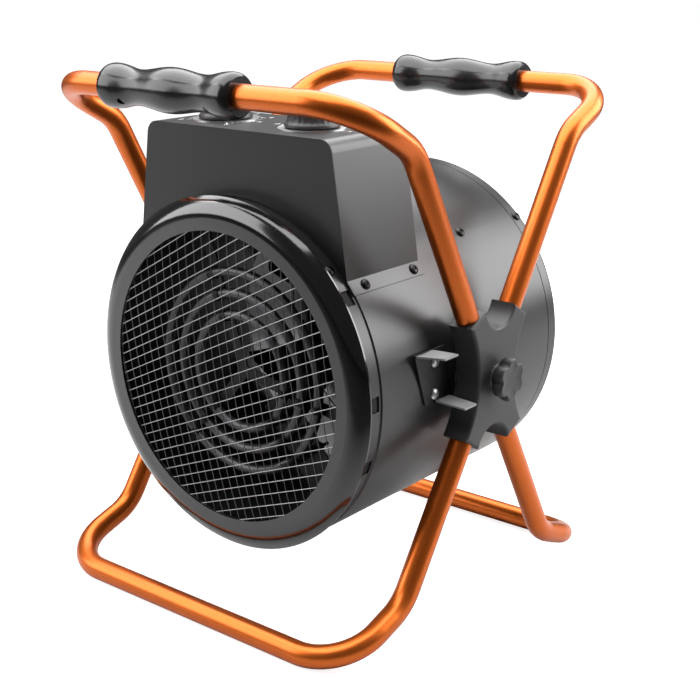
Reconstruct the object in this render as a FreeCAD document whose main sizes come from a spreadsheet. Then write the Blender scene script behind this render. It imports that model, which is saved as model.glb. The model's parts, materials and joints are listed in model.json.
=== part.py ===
import FreeCAD, Part
import math
import os
import re

import Sketcher

# Drum heater on a tubular stand. Millimetres, +Z up, the outlet faces -Y.
# The origin lies on the floor, below the middle of the pivot line.

SIZES = {
    # stand
    "pivot_height": 206.0,
    "rest_tilt": 2.6,
    "tube_radius": 9.5,
    "tube_wall": 1.5,
    "hub_clearance": 2.5,
    "bar_reach": 177.0,
    "handle_height": 429.0,
    "handle_knee_height": 394.5,
    "handle_leg_slope": 0.585,
    "foot_knee_height": 37.0,
    "foot_leg_slope": 0.61,
    "knee_bend": 42.0,
    "corner_bend": 45.0,
    "tube_start": 30.0,
    # clamp hubs
    "hub_face_wall": 2.5,
    "hub_arm_length": 60.0,
    "hub_side_wall": 1.8,
    "hub_waist_radius": 82.0,
    "hub_notch_depth": 16.5,
    "hub_edge_round": 2.5,
    # tilt pivot
    "stud_radius": 4.0,
    "running_gap": 0.05,
    "boss_radius": 14.0,
    "boss_entry": 7.0,
    "boss_flange_radius": 22.0,
    "boss_flange_depth": 2.0,
    "boss_spigot_radius": 10.0,
    "pivot_nut_flats": 30.0,
    "pivot_nut_depth": 8.0,
    "washer_radius": 11.0,
    "washer_depth": 1.5,
    "clamp_knob_radius": 18.5,
    "clamp_knob_depth": 13.0,
    "clamp_knob_lobes": 6,
    # drum
    "drum_radius": 145.5,
    "drum_wall": 1.0,
    "drum_rear": 122.0,
    "band_step": 1.2,
    "band_front": -134.0,
    "band_rear": -118.5,
    "slot_width": 12.0,
    "slot_length": 12.5,
    "screw_ring": -127.0,
    # outlet bezel and guard
    "bezel_front": -143.3,
    "bezel_wall": 1.2,
    "bezel_width": 26.6,
    "bezel_flat_width": 10.0,
    "bezel_overhang": 2.1,
    "bezel_depth": 8.7,
    "bezel_hem": 1.4,
    "collar_rear": -122.0,
    "wire_radius": 0.65,
    "wire_pitch": 8.8,
    "wire_angle": 24.0,
    "guard_lap": 6.5,
    # rear ring and grille
    "rear_gap": 1.4,
    "rear_ring_step": 0.3,
    "rear_ring_depth": 14.2,
    "rear_ring_round": 4.0,
    "rear_rim_width": 22.2,
    "rear_collar_front": 108.0,
    "grille_wire": 1.4,
    "grille_rings": 10,
    "grille_spokes": 12,
    # heating elements and duct
    "duct_space": 17.5,
    "duct_wall": 0.8,
    "duct_front": -133.0,
    "duct_rear": 24.0,
    "element_plane": -120.0,
    "element_tube": 4.0,
    "inner_element": 48.0,
    "element_step": 18.0,
    "element_gap_angle": -50.0,
    "leg_spacing": 14.0,
    "leg_bend": 8.0,
    "leg_end": -90.0,
    "terminal_plane": -100.0,
    "support_width": 10.0,
    "strip_depth": 1.5,
    # fan and motor
    "motor_radius": 40.0,
    "motor_front": 48.0,
    "motor_rear": 106.0,
    "motor_shaft_radius": 4.0,
    "bracket_depth": 2.0,
    "bracket_width": 18.0,
    "bracket_screws": 42.7,
    "fan_tip_gap": 5.2,
    "fan_hub_radius": 20.0,
    "fan_front": 16.0,
    "fan_depth": 22.0,
    "fan_blades": 5,
    # control box
    "box_front": -119.5,
    "box_rear": -30.0,
    "box_rise": 52.5,
    "box_top_half": 97.8,
    "box_fold_angle": 39.7,
    "box_flange_angle": 35.0,
    "box_corner": 11.0,
    "box_wall": 1.2,
    "flange_wall": 1.0,
    "flange_screw_front": -102.0,
    "flange_screw_rear": -41.0,
    # controls
    "thermostat_place": -52.0,
    "selector_place": 42.0,
    "control_line": -75.0,
    "dial_radius": 27.5,
    "dial_depth": 0.6,
    "knob_radius": 22.5,
    "knob_top_radius": 19.0,
    "knob_depth": 16.0,
    "control_shaft": 3.0,
    # cable inlet
    "gland_place": -50.0,
    "gland_drop": 26.0,
    "gland_bore": 5.0,
    "gland_radius": 11.0,
    # grips
    "grip_half_length": 70.0,
    "grip_flare_wall": 8.1,
    "grip_waist_wall": 4.4,
    "grip_belly_wall": 8.0,
    "front_grip_place": -17.0,
    "rear_grip_place": 1.0,
    "grip_seam": 45.0,
    "grip_screw": 1.5,
    # tilt stops
    "stop_gap": 0.2,
    "stop_wall": 1.5,
    "stop_top": 32.0,
    "stop_bottom": -12.4,
    "stop_screw_line": -53.0,
    "stop_screw_upper": 21.0,
    "stop_screw_lower": -5.8,
    # fasteners
    "screw_radius": 2.0,
    "screw_head": 4.4,
    "screw_head_depth": 2.4,
}

# sizes that follow from what a piece fits
FITS = {
    "tube_plane": "drum_radius + hub_clearance + hub_half_depth",
    "hub_half_depth": "tube_radius + hub_face_wall",
    "hub_arm_half": "tube_radius + hub_side_wall",
    "boss_reach": "tube_plane - hub_half_depth + boss_entry",
    "band_radius": "drum_radius - band_step",
    "bezel_radius": "drum_radius + bezel_overhang",
    "bezel_opening": "bezel_radius - bezel_width",
    "bezel_flat": "bezel_opening + bezel_flat_width",
    "guard_reach": "bezel_opening + guard_lap",
    "rear_ring_radius": "drum_radius - rear_ring_step",
    "rear_ring_end": "drum_rear + rear_gap + rear_ring_depth",
    "rear_opening": "rear_ring_radius - rear_rim_width",
    "duct_radius": "drum_radius - duct_space",
    "fan_radius": "duct_radius - duct_wall - fan_tip_gap",
    "box_top": "drum_radius + box_rise",
    "gland_height": "box_top - gland_drop",
    "grip_flare": "tube_radius + grip_flare_wall",
    "grip_waist": "tube_radius + grip_waist_wall",
    "grip_belly": "tube_radius + grip_belly_wall",
    "stop_plane": "drum_radius + stop_gap",
    "stop_reach": "tube_plane + hub_half_depth",
}

doc = FreeCAD.newDocument("drum_heater")
sheet = doc.addObject("Spreadsheet::Sheet", "dims")
sheet.Label = "dims"
ROWS = {**SIZES, **{alias: "=" + formula for alias, formula in FITS.items()}}
for row, alias in enumerate(ROWS, start=1):
    sheet.set(f"A{row}", alias)
    sheet.setAlias(f"B{row}", alias)
for row, value in enumerate(ROWS.values(), start=1):
    sheet.set(f"B{row}", str(value))
doc.recompute()

Vector = FreeCAD.Vector
Rotation = FreeCAD.Rotation
Placement = FreeCAD.Placement
NODES = []


# ---------------------------------------------------------------- helpers

def bound(formula):
    """A formula on the sheet's aliases, as the expression engine reads it."""
    def name(match):
        return "dims." + match.group() if match.group() in ROWS else match.group()
    return re.sub(r"[a-z][a-z_]*", name, str(formula))


def size(formula):
    """The value of a formula, in millimetres or degrees."""
    value = sheet.evalExpression(bound(formula))
    return float(getattr(value, "Value", value))


PIVOT = Vector(0, 0, size("pivot_height"))
DRUM = Placement(PIVOT, Rotation(Vector(1, 0, 0), size("rest_tilt")))


def tie(thing, frame):
    """Ties a piece to its frame: the drum tilts about the pivot, the pivot frame only lifts."""
    if frame == "drum":
        thing.Placement = DRUM
        thing.setExpression("Placement.Rotation.Angle", "dims.rest_tilt * 1deg")
    if frame in ("drum", "pivot"):
        thing.Placement.Base = PIVOT
        thing.setExpression("Placement.Base.z", "dims.pivot_height")
    return thing


def node(thing, name, frame="stand"):
    """Names a finished piece, which is then written to a file of that name."""
    if frame != "stand" and not thing.Placement.isIdentity():
        thing.Label = name + "_solid"
        thing = group(name + "_group", [thing])
    thing.Label = name
    tie(thing, frame)
    NODES.append(thing)
    return thing


def solid_node(shape, name, frame="stand"):
    """A piece whose shape is made with Part's own functions."""
    feature = doc.addObject("Part::Feature", name)
    feature.Shape = shape
    return node(feature, name, frame)


def body_of(name):
    return doc.addObject("PartDesign::Body", name)


def sketch_on(body, name, role, shift=("0", "0", "0")):
    sketch = body.newObject("Sketcher::SketchObject", name)
    plane = [item for item in body.Origin.OriginFeatures if item.Role == role][0]
    sketch.AttachmentSupport = [(plane, "")]
    sketch.MapMode = "FlatFace"
    for axis, formula in zip("xyz", shift):
        if formula != "0":
            sketch.setExpression("AttachmentOffset.Base." + axis, bound(formula))
    return sketch


def pin_point(sketch, index, place, across, along):
    """Fixes a vertex by its two distances from the sketch's origin."""
    for kind, axis, formula in (("DistanceX", -2, across), ("DistanceY", -1, along)):
        value = size(formula)
        if abs(value) < 1e-9:
            sketch.addConstraint(Sketcher.Constraint("PointOnObject", index, place, axis))
            continue
        number = sketch.addConstraint(Sketcher.Constraint(kind, -1, 1, index, place, value))
        sketch.setExpression(f"Constraints[{number}]", bound(formula))


def draw(sketch, corners):
    """A closed outline. A corner is (x, y), or (x, y, radius, side) where an arc leads to it."""
    spots = [Vector(size(corner[0]), size(corner[1]), 0) for corner in corners]
    ends = []
    for index, corner in enumerate(corners):
        start, end = spots[index - 1], spots[index]
        if len(corner) == 2:
            sketch.addGeometry(Part.LineSegment(start, end), False)
        else:
            chord = end - start
            radius = size(corner[2])
            rise = radius - math.sqrt(radius ** 2 - (chord.Length / 2) ** 2)
            normal = Vector(-chord.y, chord.x, 0).normalize()
            middle = (start + end) * 0.5 + normal * (rise * corner[3])
            sketch.addGeometry(Part.Arc(start, middle, end), False)
        near = (sketch.getPoint(index, 1) - end).Length < (sketch.getPoint(index, 2) - end).Length
        ends.append((2, 1) if near else (1, 2))
    for index, corner in enumerate(corners):
        following = (index + 1) % len(corners)
        sketch.addConstraint(Sketcher.Constraint(
            "Coincident", index, ends[index][1], following, ends[following][0]))
        pin_point(sketch, index, ends[index][1], corner[0], corner[1])
        if len(corner) > 2:
            number = sketch.addConstraint(Sketcher.Constraint("Radius", index, size(corner[2])))
            sketch.setExpression(f"Constraints[{number}]", bound(corner[2]))
    return sketch


def turned(name, corners, frame="drum", about="V_Axis", shift=("0", "0", "0"), role="XY_Plane"):
    """A piece turned from one outline, radius across and height along the axis."""
    body = body_of(name + "_turning")
    sketch = draw(sketch_on(body, name + "_outline", role, shift), corners)
    turn = body.newObject("PartDesign::Revolution", name + "_turn")
    turn.Profile = sketch
    turn.ReferenceAxis = (sketch, [about])
    turn.Angle = 360
    doc.recompute()
    return body


def padded(name, role, corners, depth, shift=("0", "0", "0")):
    """A piece cut from sheet or moulded to one outline."""
    body = body_of(name + "_blank")
    sketch = draw(sketch_on(body, name + "_outline", role, shift), corners)
    pad = body.newObject("PartDesign::Pad", name + "_pad")
    pad.Profile = sketch
    pad.setExpression("Length", bound(depth))
    doc.recompute()
    return body


def pocketed(body, name, role, corners, shift):
    """A pocket through the whole piece, checked to have cut something."""
    before = body.Shape.Volume
    sketch = draw(sketch_on(body, name + "_outline", role, shift), corners)
    pocket = body.newObject("PartDesign::Pocket", name)
    pocket.Profile = sketch
    pocket.Type = "ThroughAll"
    doc.recompute()
    if body.Shape.Volume > before - 1:
        pocket.Reversed = True
        doc.recompute()
    if body.Shape.Volume > before - 1:
        raise RuntimeError(name + " cuts nothing")
    return pocket


def rounded(body, name, chosen, radius):
    """Rounds the edges that a test picks."""
    base = body.Tip
    names = [f"Edge{index}" for index, edge in enumerate(base.Shape.Edges, 1) if chosen(edge)]
    if not names:
        raise RuntimeError(name + " finds no edge")
    fillet = body.newObject("PartDesign::Fillet", name)
    fillet.Base = (base, names)
    fillet.setExpression("Radius", bound(radius))
    doc.recompute()
    return fillet


def rod(name, radius, length, base, direction):
    """A Part cylinder from a base point along a direction."""
    cylinder = doc.addObject("Part::Cylinder", name)
    cylinder.setExpression("Radius", bound(radius))
    cylinder.setExpression("Height", bound(length))
    cylinder.Placement = Placement(Vector(*base), Rotation(Vector(0, 0, 1), Vector(*direction)))
    return cylinder


def slab(name, low, high, turn=None):
    """A Part box between two corners, turned about the Y axis where asked."""
    box = doc.addObject("Part::Box", name)
    box.Length, box.Width, box.Height = (high[axis] - low[axis] for axis in range(3))
    box.Placement = Placement(Vector(*low), Rotation())
    if turn:
        box.Placement = Placement(Vector(), Rotation(Vector(0, 1, 0), turn)) * box.Placement
    return box


def group(name, pieces):
    compound = doc.addObject("Part::Compound", name)
    compound.Links = pieces
    return compound


def joined(name, pieces):
    fusion = doc.addObject("Part::MultiFuse", name)
    fusion.Shapes = pieces
    return fusion


def drilled(name, base, cutters):
    cut = doc.addObject("Part::Cut", name)
    cut.Base = base
    cut.Tool = group(name + "_cutters", cutters)
    return cut


def clipped(name, base, limit):
    common = doc.addObject("Part::Common", name)
    common.Base = base
    common.Tool = limit
    return common


def screws(name, spots, length, head="screw_head"):
    """Pan-head screws. A spot is a seat point and the direction that the head faces."""
    pieces = []
    for index, (seat, facing) in enumerate(spots):
        outward = Vector(*facing).normalize()
        cap = doc.addObject("Part::Cone", f"{name}_{index}_head")
        cap.setExpression("Radius1", bound(head))
        cap.setExpression("Radius2", bound(f"({head}) * 0.6"))
        cap.setExpression("Height", bound("screw_head_depth"))
        cap.Placement = Placement(Vector(*seat), Rotation(Vector(0, 0, 1), outward))
        shank = rod(f"{name}_{index}_shank", "screw_radius", length, seat, -outward)
        pieces.append(joined(f"{name}_{index}", [cap, shank]))
    return pieces


def on_circle(radius, angle, along):
    """A point about the drum's axis, its angle counted from +X towards +Z."""
    turn = math.radians(angle)
    return (radius * math.cos(turn), along, radius * math.sin(turn))


# ---------------------------------------------------------------- stand tubes

def bent(points, bends):
    """A wire through points, with each inner corner rounded by its own bend."""
    edges = []
    start = points[0]
    for before, corner, after, bend in zip(points, points[1:], points[2:], bends):
        back = (before - corner).normalize()
        ahead = (after - corner).normalize()
        half = back.getAngle(ahead) / 2
        reach = bend / math.tan(half)
        bisector = (back + ahead).normalize()
        middle = corner + bisector * (bend / math.sin(half) - bend)
        edges.append(Part.LineSegment(start, corner + back * reach).toShape())
        edges.append(Part.Arc(corner + back * reach, middle, corner + ahead * reach).toShape())
        start = corner + ahead * reach
    edges.append(Part.LineSegment(start, points[-1]).toShape())
    return Part.Wire(edges)


def pipe(path, radius):
    """A round bar along a wire of straight runs and tangent arcs."""
    first = path.Edges[0]
    start = first.valueAt(first.FirstParameter)
    circle = Part.Circle(start, first.tangentAt(first.FirstParameter), radius)
    profile = Part.Wire([circle.toShape()])
    return path.makePipeShell([profile], True, False)


def grip_frame(where, side):
    """The middle of a grip on its cross-bar. Its local Y faces out and down, across the seam."""
    place = Vector(size(f"{where}_grip_place"), side * size("bar_reach"), size("handle_height"))
    turn = Rotation(Vector(1, 0, 0), -side * size("grip_seam"))
    return Placement(place, turn) * Placement(Vector(), Rotation(Vector(0, 0, 1), 90 - side * 90))


def grip_drills(where, side, radius, start, length):
    """Round bars on the lines of the two grip screws, from a distance along the local Y."""
    spots = [share * size("grip_half_length") for share in (-0.66, 0.66)]
    bars = [Part.makeCylinder(radius, length, Vector(spot, start, 0), Vector(0, 1, 0)) for spot in spots]
    for bar in bars:
        bar.Placement = grip_frame(where, side) * bar.Placement
    return bars


def stand_tube(name, side, slope, knee, top, drills=()):
    """One U of the stand: two legs in the tube planes, joined by a straight cross-bar."""
    pivot = size("pivot_height")
    plane = size("tube_plane")
    reach = size("bar_reach")
    rise = 1 if top > pivot else -1
    start = size("tube_start") / math.hypot(1, slope)
    right = [
        Vector(plane, side * slope * start, pivot + rise * start),
        Vector(plane, side * slope * abs(knee - pivot), knee),
        Vector(plane, side * reach, top),
    ]
    left = [Vector(-point.x, point.y, point.z) for point in reversed(right)]
    bends = [size("knee_bend"), size("corner_bend"), size("corner_bend"), size("knee_bend")]
    path = bent(right + left, bends)
    outside = pipe(path, size("tube_radius"))
    inside = pipe(path, size("tube_radius - tube_wall"))
    tube = outside.cut(inside)
    for drill in drills:
        tube = tube.cut(drill)
    return solid_node(tube, name)


for side, where in ((-1, "front"), (1, "rear")):
    stand_tube(f"{where}_handle_tube", side, size("handle_leg_slope"),
               size("handle_knee_height"), size("handle_height"),
               grip_drills(where, side, size("grip_screw"), -15, 30))
    stand_tube(f"{where}_foot_tube", side, size("foot_leg_slope"),
               size("foot_knee_height"), size("tube_radius"))


# ---------------------------------------------------------------- clamp hubs

def arm_corner(slope, across, along):
    """A corner of an arm's end, as formulas: along the leg and across it."""
    lean = f"atan({slope})"
    return (f"hub_arm_length * sin({lean}) + {across} * hub_arm_half * cos({lean})",
            f"{along} * (hub_arm_length * cos({lean}) - {across} * hub_arm_half * sin({lean}))")


def hub_outline():
    """The cross of four arms, with hollowed sides and round notches between the arms."""
    upper_out = arm_corner("handle_leg_slope", 1, 1)
    upper_in = arm_corner("handle_leg_slope", -1, 1)
    lower_out = arm_corner("foot_leg_slope", 1, -1)
    lower_in = arm_corner("foot_leg_slope", -1, -1)

    def mirrored(corner):
        return f"-({corner[0]})", corner[1]

    def notch(corner):
        return f"(({corner[0]}) ^ 2 + hub_notch_depth ^ 2) / (2 * hub_notch_depth)"
    waist = "hub_waist_radius"
    return [
        upper_out,
        upper_in,
        (*mirrored(upper_in), notch(upper_in), 1),
        mirrored(upper_out),
        (*mirrored(lower_out), waist, 1),
        mirrored(lower_in),
        (*lower_in, notch(lower_in), 1),
        lower_out,
        (*upper_out, waist, 1),
    ][1:]


HUB_SCREWS = ((18.8, 0.0), (-18.8, 0.0), (0.0, 31.0), (0.0, -31.0))
HUB_SCREW_SINK = 3.0


def hub_half(name, hand, outer):
    """Half of a clamp hub, split in the plane of the tube axes."""
    plane = size("tube_plane")
    depth = size("hub_half_depth")
    low = hand * plane if (hand > 0) == outer else hand * plane - depth
    body = padded(name, "YZ_Plane", hub_outline(), "hub_half_depth", ("0", "0", str(low)))
    skin = hand * (plane + (depth if outer else -depth))
    rounded(body, name + "_round",
            lambda edge: abs(edge.BoundBox.XMin - skin) < 1e-6 and edge.BoundBox.XLength < 1e-6,
            "hub_edge_round")
    cutters = []
    for index, (slope, rise) in enumerate((("handle_leg_slope", 1), ("foot_leg_slope", -1))):
        for side in (-1, 1):
            lean = (0, side * size(slope), rise)
            start = Vector(*lean).normalize() * size("tube_start")
            cutters.append(rod(f"{name}_socket_{index}_{side + 1}", "tube_radius", "hub_arm_length",
                               (hand * plane, start.y, start.z), lean))
    centre = (hand * (plane - 2 * depth), 0, 0)
    outward = (hand, 0, 0)
    cutters.append(rod(name + "_stud_hole", "stud_radius + 0.5", "4 * hub_half_depth", centre, outward))
    if not outer:
        cutters.append(rod(name + "_boss_seat", "boss_radius + running_gap",
                           "boss_reach + 0.2 - tube_plane + 2 * hub_half_depth", centre, outward))
    for index, (across, up) in enumerate(HUB_SCREWS):
        inner = (hand * (plane - depth), across, up)
        cutters.append(rod(f"{name}_screw_{index}", "screw_radius",
                           "2 * hub_half_depth - 4", inner, outward))
        if not outer:
            cutters.append(rod(f"{name}_sink_{index}", "screw_head - 0.6", str(HUB_SCREW_SINK),
                               inner, outward))
    return node(drilled(name, body, cutters), name, "pivot")


STUD_START = size("drum_radius - 5.5")
SHELL_BORE = size("drum_radius - 15.5")
MOTOR_SCREWS = size("motor_radius - 14")


def lobed(name, hand):
    """The clamp knob: a round plastic head scalloped into lobes, moulded round its stud."""
    near = size("tube_plane + hub_half_depth + washer_depth")
    depth = size("clamp_knob_depth")
    radius = size("clamp_knob_radius")
    head = doc.addObject("Part::Cylinder", name + "_head")
    head.setExpression("Radius", "dims.clamp_knob_radius")
    head.setExpression("Height", "dims.clamp_knob_depth")
    head.Placement = Placement(Vector(hand * near, 0, 0), Rotation(Vector(0, 0, 1), Vector(hand, 0, 0)))
    cutters = []
    count = int(size("clamp_knob_lobes"))
    for index in range(count):
        place = on_circle(radius * 1.22, 360 * (index + 0.5) / count, 0)
        cutters.append(rod(f"{name}_scallop_{index}", "clamp_knob_radius * 0.42",
                           "clamp_knob_depth + 2", (hand * (near - 1), place[0], place[2]),
                           (hand, 0, 0)))
    scalloped = drilled(name + "_scalloped", head, cutters)
    doc.recompute()
    face = hand * (near + depth)
    rim = [(index, 1.2, 1.2) for index, edge in enumerate(scalloped.Shape.Edges, 1)
           if abs(edge.BoundBox.XMin - face) < 1e-6 and edge.BoundBox.XLength < 1e-6]
    softened = doc.addObject("Part::Fillet", name + "_softened")
    softened.Base = scalloped
    softened.Edges = rim
    stud = rod(name + "_stud", "stud_radius",
               f"tube_plane + hub_half_depth + washer_depth + clamp_knob_depth - 3 - {STUD_START}",
               (hand * STUD_START, 0, 0), (hand, 0, 0))
    return node(joined(name, [softened, stud]), name, "pivot")


def pivot_side(where, hand):
    """Hub, washer, knob and boss of one side. Returns its hub screws and its pivot nut."""
    plane = size("tube_plane")
    depth = size("hub_half_depth")
    outward = (hand, 0, 0)
    hub_half(f"{where}_hub_outer", hand, True)
    hub_half(f"{where}_hub_inner", hand, False)
    seats = [((hand * (plane - depth + HUB_SCREW_SINK), across, up), (-hand, 0, 0))
             for across, up in HUB_SCREWS]
    hub_screws = screws(f"{where}_hub_screw", seats, f"2 * hub_half_depth - 4 - {HUB_SCREW_SINK}",
                        "screw_head - 0.8")
    face = hand * (plane + depth)
    ring = rod(f"{where}_clamp_washer_disc", "washer_radius", "washer_depth", (face, 0, 0), outward)
    hole = rod(f"{where}_clamp_washer_hole", "stud_radius + running_gap", "washer_depth",
               (face, 0, 0), outward)
    node(drilled(f"{where}_clamp_washer", ring, [hole]), f"{where}_clamp_washer", "pivot")
    lobed(f"{where}_clamp_knob", hand)

    flange_face = size("drum_radius + boss_flange_depth")
    spigot_start = size("drum_radius - 2.5 - pivot_nut_depth")
    solid = joined(f"{where}_pivot_boss_turning", [
        rod(f"{where}_boss_spigot", "boss_spigot_radius", "pivot_nut_depth + 4",
            (hand * spigot_start, 0, 0), outward),
        rod(f"{where}_boss_flange", "boss_flange_radius", "boss_flange_depth",
            (hand * size("drum_radius"), 0, 0), outward),
        rod(f"{where}_boss_journal", "boss_radius", "boss_reach - drum_radius - boss_flange_depth",
            (hand * flange_face, 0, 0), outward)])
    thread = rod(f"{where}_boss_thread", "stud_radius + running_gap", "60",
                 (hand * SHELL_BORE, 0, 0), outward)
    node(drilled(f"{where}_pivot_boss", solid, [thread]), f"{where}_pivot_boss", "drum")
    nut = doc.addObject("Part::Prism", f"{where}_pivot_nut_hexagon")
    nut.Polygon = 6
    nut.setExpression("Circumradius", bound("pivot_nut_flats / sqrt(3)"))
    nut.setExpression("Height", bound("pivot_nut_depth"))
    nut.Placement = Placement(Vector(hand * spigot_start, 0, 0), Rotation(Vector(0, 0, 1), Vector(*outward)))
    spigot = rod(f"{where}_pivot_nut_hole", "boss_spigot_radius", "pivot_nut_depth",
                 (hand * spigot_start, 0, 0), outward)
    return hub_screws, [drilled(f"{where}_pivot_nut", nut, [spigot])]


sides = [pivot_side(where, hand) for where, hand in (("right", 1), ("left", -1))]
node(group("hub_screws", sides[0][0] + sides[1][0]), "hub_screws", "pivot")
node(group("pivot_nuts", sides[0][1] + sides[1][1]), "pivot_nuts", "drum")


# ---------------------------------------------------------------- handle grips

def grip_radius(share):
    """Radius of a grip at a share of its half length: belly, waist and flared end."""
    belly, waist, flare = size("grip_belly"), size("grip_waist"), size("grip_flare")
    if share < 0.5:
        return waist + (belly - waist) * (1 + math.cos(math.pi * share / 0.5)) / 2
    if share < 0.88:
        return waist + (flare - waist) * (1 - math.cos(math.pi * (share - 0.5) / 0.38)) / 2
    edge = (share - 0.88) / 0.12
    return flare - 3.0 * edge ** 3


def grip(where, side):
    """Two moulded halves that screw together through the cross-bar."""
    half = size("grip_half_length")
    steps = 28
    ring = [Vector(half * (2 * k / steps - 1), grip_radius(abs(2 * k / steps - 1)), 0)
            for k in range(steps + 1)]
    curve = Part.BSplineCurve()
    curve.interpolate(ring)
    bore = size("tube_radius")
    low, high = Vector(-half, bore, 0), Vector(half, bore, 0)
    face = Part.Face(Part.Wire([curve.toShape(), Part.makeLine(ring[-1], high),
                                Part.makeLine(high, low), Part.makeLine(low, ring[0])]))
    sleeve = face.revolve(Vector(), Vector(1, 0, 0), 360)
    sleeve = sleeve if sleeve.Volume > 0 else sleeve.reversed()
    wide = 2 * size("grip_flare")
    outward = Part.makeBox(2 * half + 2, wide, 2 * wide, Vector(-half - 1, 0, -wide))
    frame = grip_frame(where, side)
    seat = grip_radius(0.66) - 2.6
    thread = size("grip_screw")
    outer, inner = sleeve.common(outward), sleeve.cut(outward)
    outer.Placement = frame
    inner.Placement = frame
    for drill in grip_drills(where, side, thread, -size("grip_waist") + 1.5, 40):
        outer = outer.cut(drill)
        inner = inner.cut(drill)
    for sink in grip_drills(where, side, 2 * thread + 0.2, seat, 20):
        outer = outer.cut(sink)
    solid_node(outer, f"{where}_grip_outer")
    solid_node(inner, f"{where}_grip_inner")
    heads = grip_drills(where, side, 2 * thread, seat, 1.6)
    shanks = grip_drills(where, side, thread, -size("grip_waist") + 1.5, seat + size("grip_waist") - 1.5)
    return [head.fuse(shank) for head, shank in zip(heads, shanks)]


solid_node(Part.makeCompound(grip("front", -1) + grip("rear", 1)), "grip_screws")


# ---------------------------------------------------------------- drum and rings

def drum_shell():
    """Rolled sheet drum with a stepped band at the front."""
    body = turned("drum_shell", [
        ("band_radius", "band_front"),
        ("band_radius", "band_rear"),
        ("drum_radius", "band_rear + drum_wall"),
        ("drum_radius", "drum_rear"),
        ("drum_radius - drum_wall", "drum_rear"),
        ("drum_radius - drum_wall", "band_rear + 1.4 * drum_wall"),
        ("band_radius - drum_wall", "band_rear + 0.4 * drum_wall"),
        ("band_radius - drum_wall", "band_front"),
    ])
    cutters = []
    for hand in (1, -1):
        cutters.append(rod(f"drum_spigot_hole_{hand + 1}", "boss_spigot_radius", "20",
                           (hand * SHELL_BORE, 0, 0), (hand, 0, 0)))
        for up in STOP_SCREWS:
            cutters.append(rod(f"drum_stop_hole_{hand + 1}_{up}", "screw_radius", "20",
                               (hand * SHELL_BORE, size("stop_screw_line"), size(up)), (hand, 0, 0)))
    width, length = size("slot_width"), size("slot_length")
    middle = size("(band_front + band_rear) / 2")
    for index, angle in enumerate((35, 1.5, -20, 145, 178.5, 200)):
        cutters.append(slab(f"drum_slot_{index}", (SHELL_BORE, middle - width / 2, -length / 2),
                            (SHELL_BORE + 20, middle + width / 2, length / 2), -angle))
    cutters.append(slab("drum_wire_slot", (-40, -95, SHELL_BORE), (40, -50, SHELL_BORE + 20)))
    for index, (angle, along) in enumerate(SHELL_SCREWS):
        cutters.append(rod(f"drum_screw_hole_{index}", "screw_radius", "20",
                           on_circle(SHELL_BORE, angle, along), on_circle(1, angle, 0)))
    return node(drilled("drum_shell", body, cutters), "drum_shell", "drum")


RING_ANGLES = (45, 135, 225, 315)
FLANGE_ANGLES = (size("(box_fold_angle + box_flange_angle) / 2"),
                 180 - size("(box_fold_angle + box_flange_angle) / 2"))
REAR_SCREW_LINE = size("drum_rear + 8")
STOP_SCREWS = ("stop_screw_upper", "stop_screw_lower")
SHELL_SCREWS = (
    [(angle, size("screw_ring")) for angle in RING_ANGLES]
    + [(angle, size("bracket_screws")) for angle in RING_ANGLES]
    + [(angle, size(along)) for angle in FLANGE_ANGLES
       for along in ("flange_screw_front", "flange_screw_rear")])
drum_shell()

face_back = "bezel_front + bezel_wall"
node(turned("front_bezel", [
    ("bezel_opening", "bezel_front"),
    ("bezel_flat", "bezel_front"),
    ("bezel_radius", "bezel_front + bezel_depth",
     "((bezel_radius - bezel_flat) ^ 2 + bezel_depth ^ 2) / (2 * bezel_depth)", -1),
    ("bezel_radius", "bezel_front + bezel_depth + bezel_hem"),
    ("bezel_radius - bezel_wall", "bezel_front + bezel_depth + bezel_hem"),
    ("bezel_radius - bezel_wall", "bezel_front + bezel_depth"),
    ("bezel_flat", face_back,
     "((bezel_radius - bezel_flat) ^ 2 + bezel_depth ^ 2) / (2 * bezel_depth)", 1),
    ("bezel_opening", face_back),
]), "front_bezel", "drum")

collar = turned("bezel_collar", [
    ("bezel_flat + 1", f"{face_back} + 0.05"),
    ("band_radius - drum_wall", f"{face_back} + 6"),
    ("band_radius - drum_wall", "collar_rear"),
    ("band_radius - drum_wall - 1", "collar_rear"),
    ("band_radius - drum_wall - 1", f"{face_back} + 6.6"),
    ("bezel_flat + 1", f"{face_back} + 1.1"),
])
node(drilled("bezel_collar", collar, [
    rod(f"collar_hole_{angle}", "screw_radius", "20", on_circle(SHELL_BORE, angle, size("screw_ring")),
        on_circle(1, angle, 0)) for angle in RING_ANGLES]), "bezel_collar", "drum")

wire_back = f"{face_back} + 4 * wire_radius"
node(turned("guard_retainer", [
    ("bezel_opening + 1.5", wire_back),
    ("guard_reach + 0.5", wire_back),
    ("guard_reach + 1.5", face_back),
    ("bezel_flat", face_back),
    ("bezel_flat", f"{face_back} + 0.8"),
    ("guard_reach + 2.3", f"{face_back} + 0.8"),
    ("guard_reach + 1.3", f"{wire_back} + 0.8"),
    ("bezel_opening + 1.5", f"{wire_back} + 0.8"),
]), "guard_retainer", "drum")


def mesh_guard():
    """Two layers of parallel wires, one across the other."""
    pitch, reach, radius = size("wire_pitch"), size("guard_reach"), size("wire_radius")
    count = int(reach / pitch)
    wires = []
    for layer, lean in enumerate((size("wire_angle"), size("wire_angle") + 90)):
        along = Vector(*on_circle(1, lean, 0))
        across = Vector(*on_circle(1, lean + 90, 0))
        depth = size(face_back) + radius * (1 + 2 * layer)
        for step in range(-count, count + 1):
            offset = step * pitch
            half = math.sqrt((reach - 0.3) ** 2 - offset ** 2)
            start = across * offset - along * half + Vector(0, depth, 0)
            wires.append(Part.makeCylinder(radius, 2 * half, start, along))
    return solid_node(Part.makeCompound(wires), "front_mesh_guard", "drum")


mesh_guard()

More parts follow.
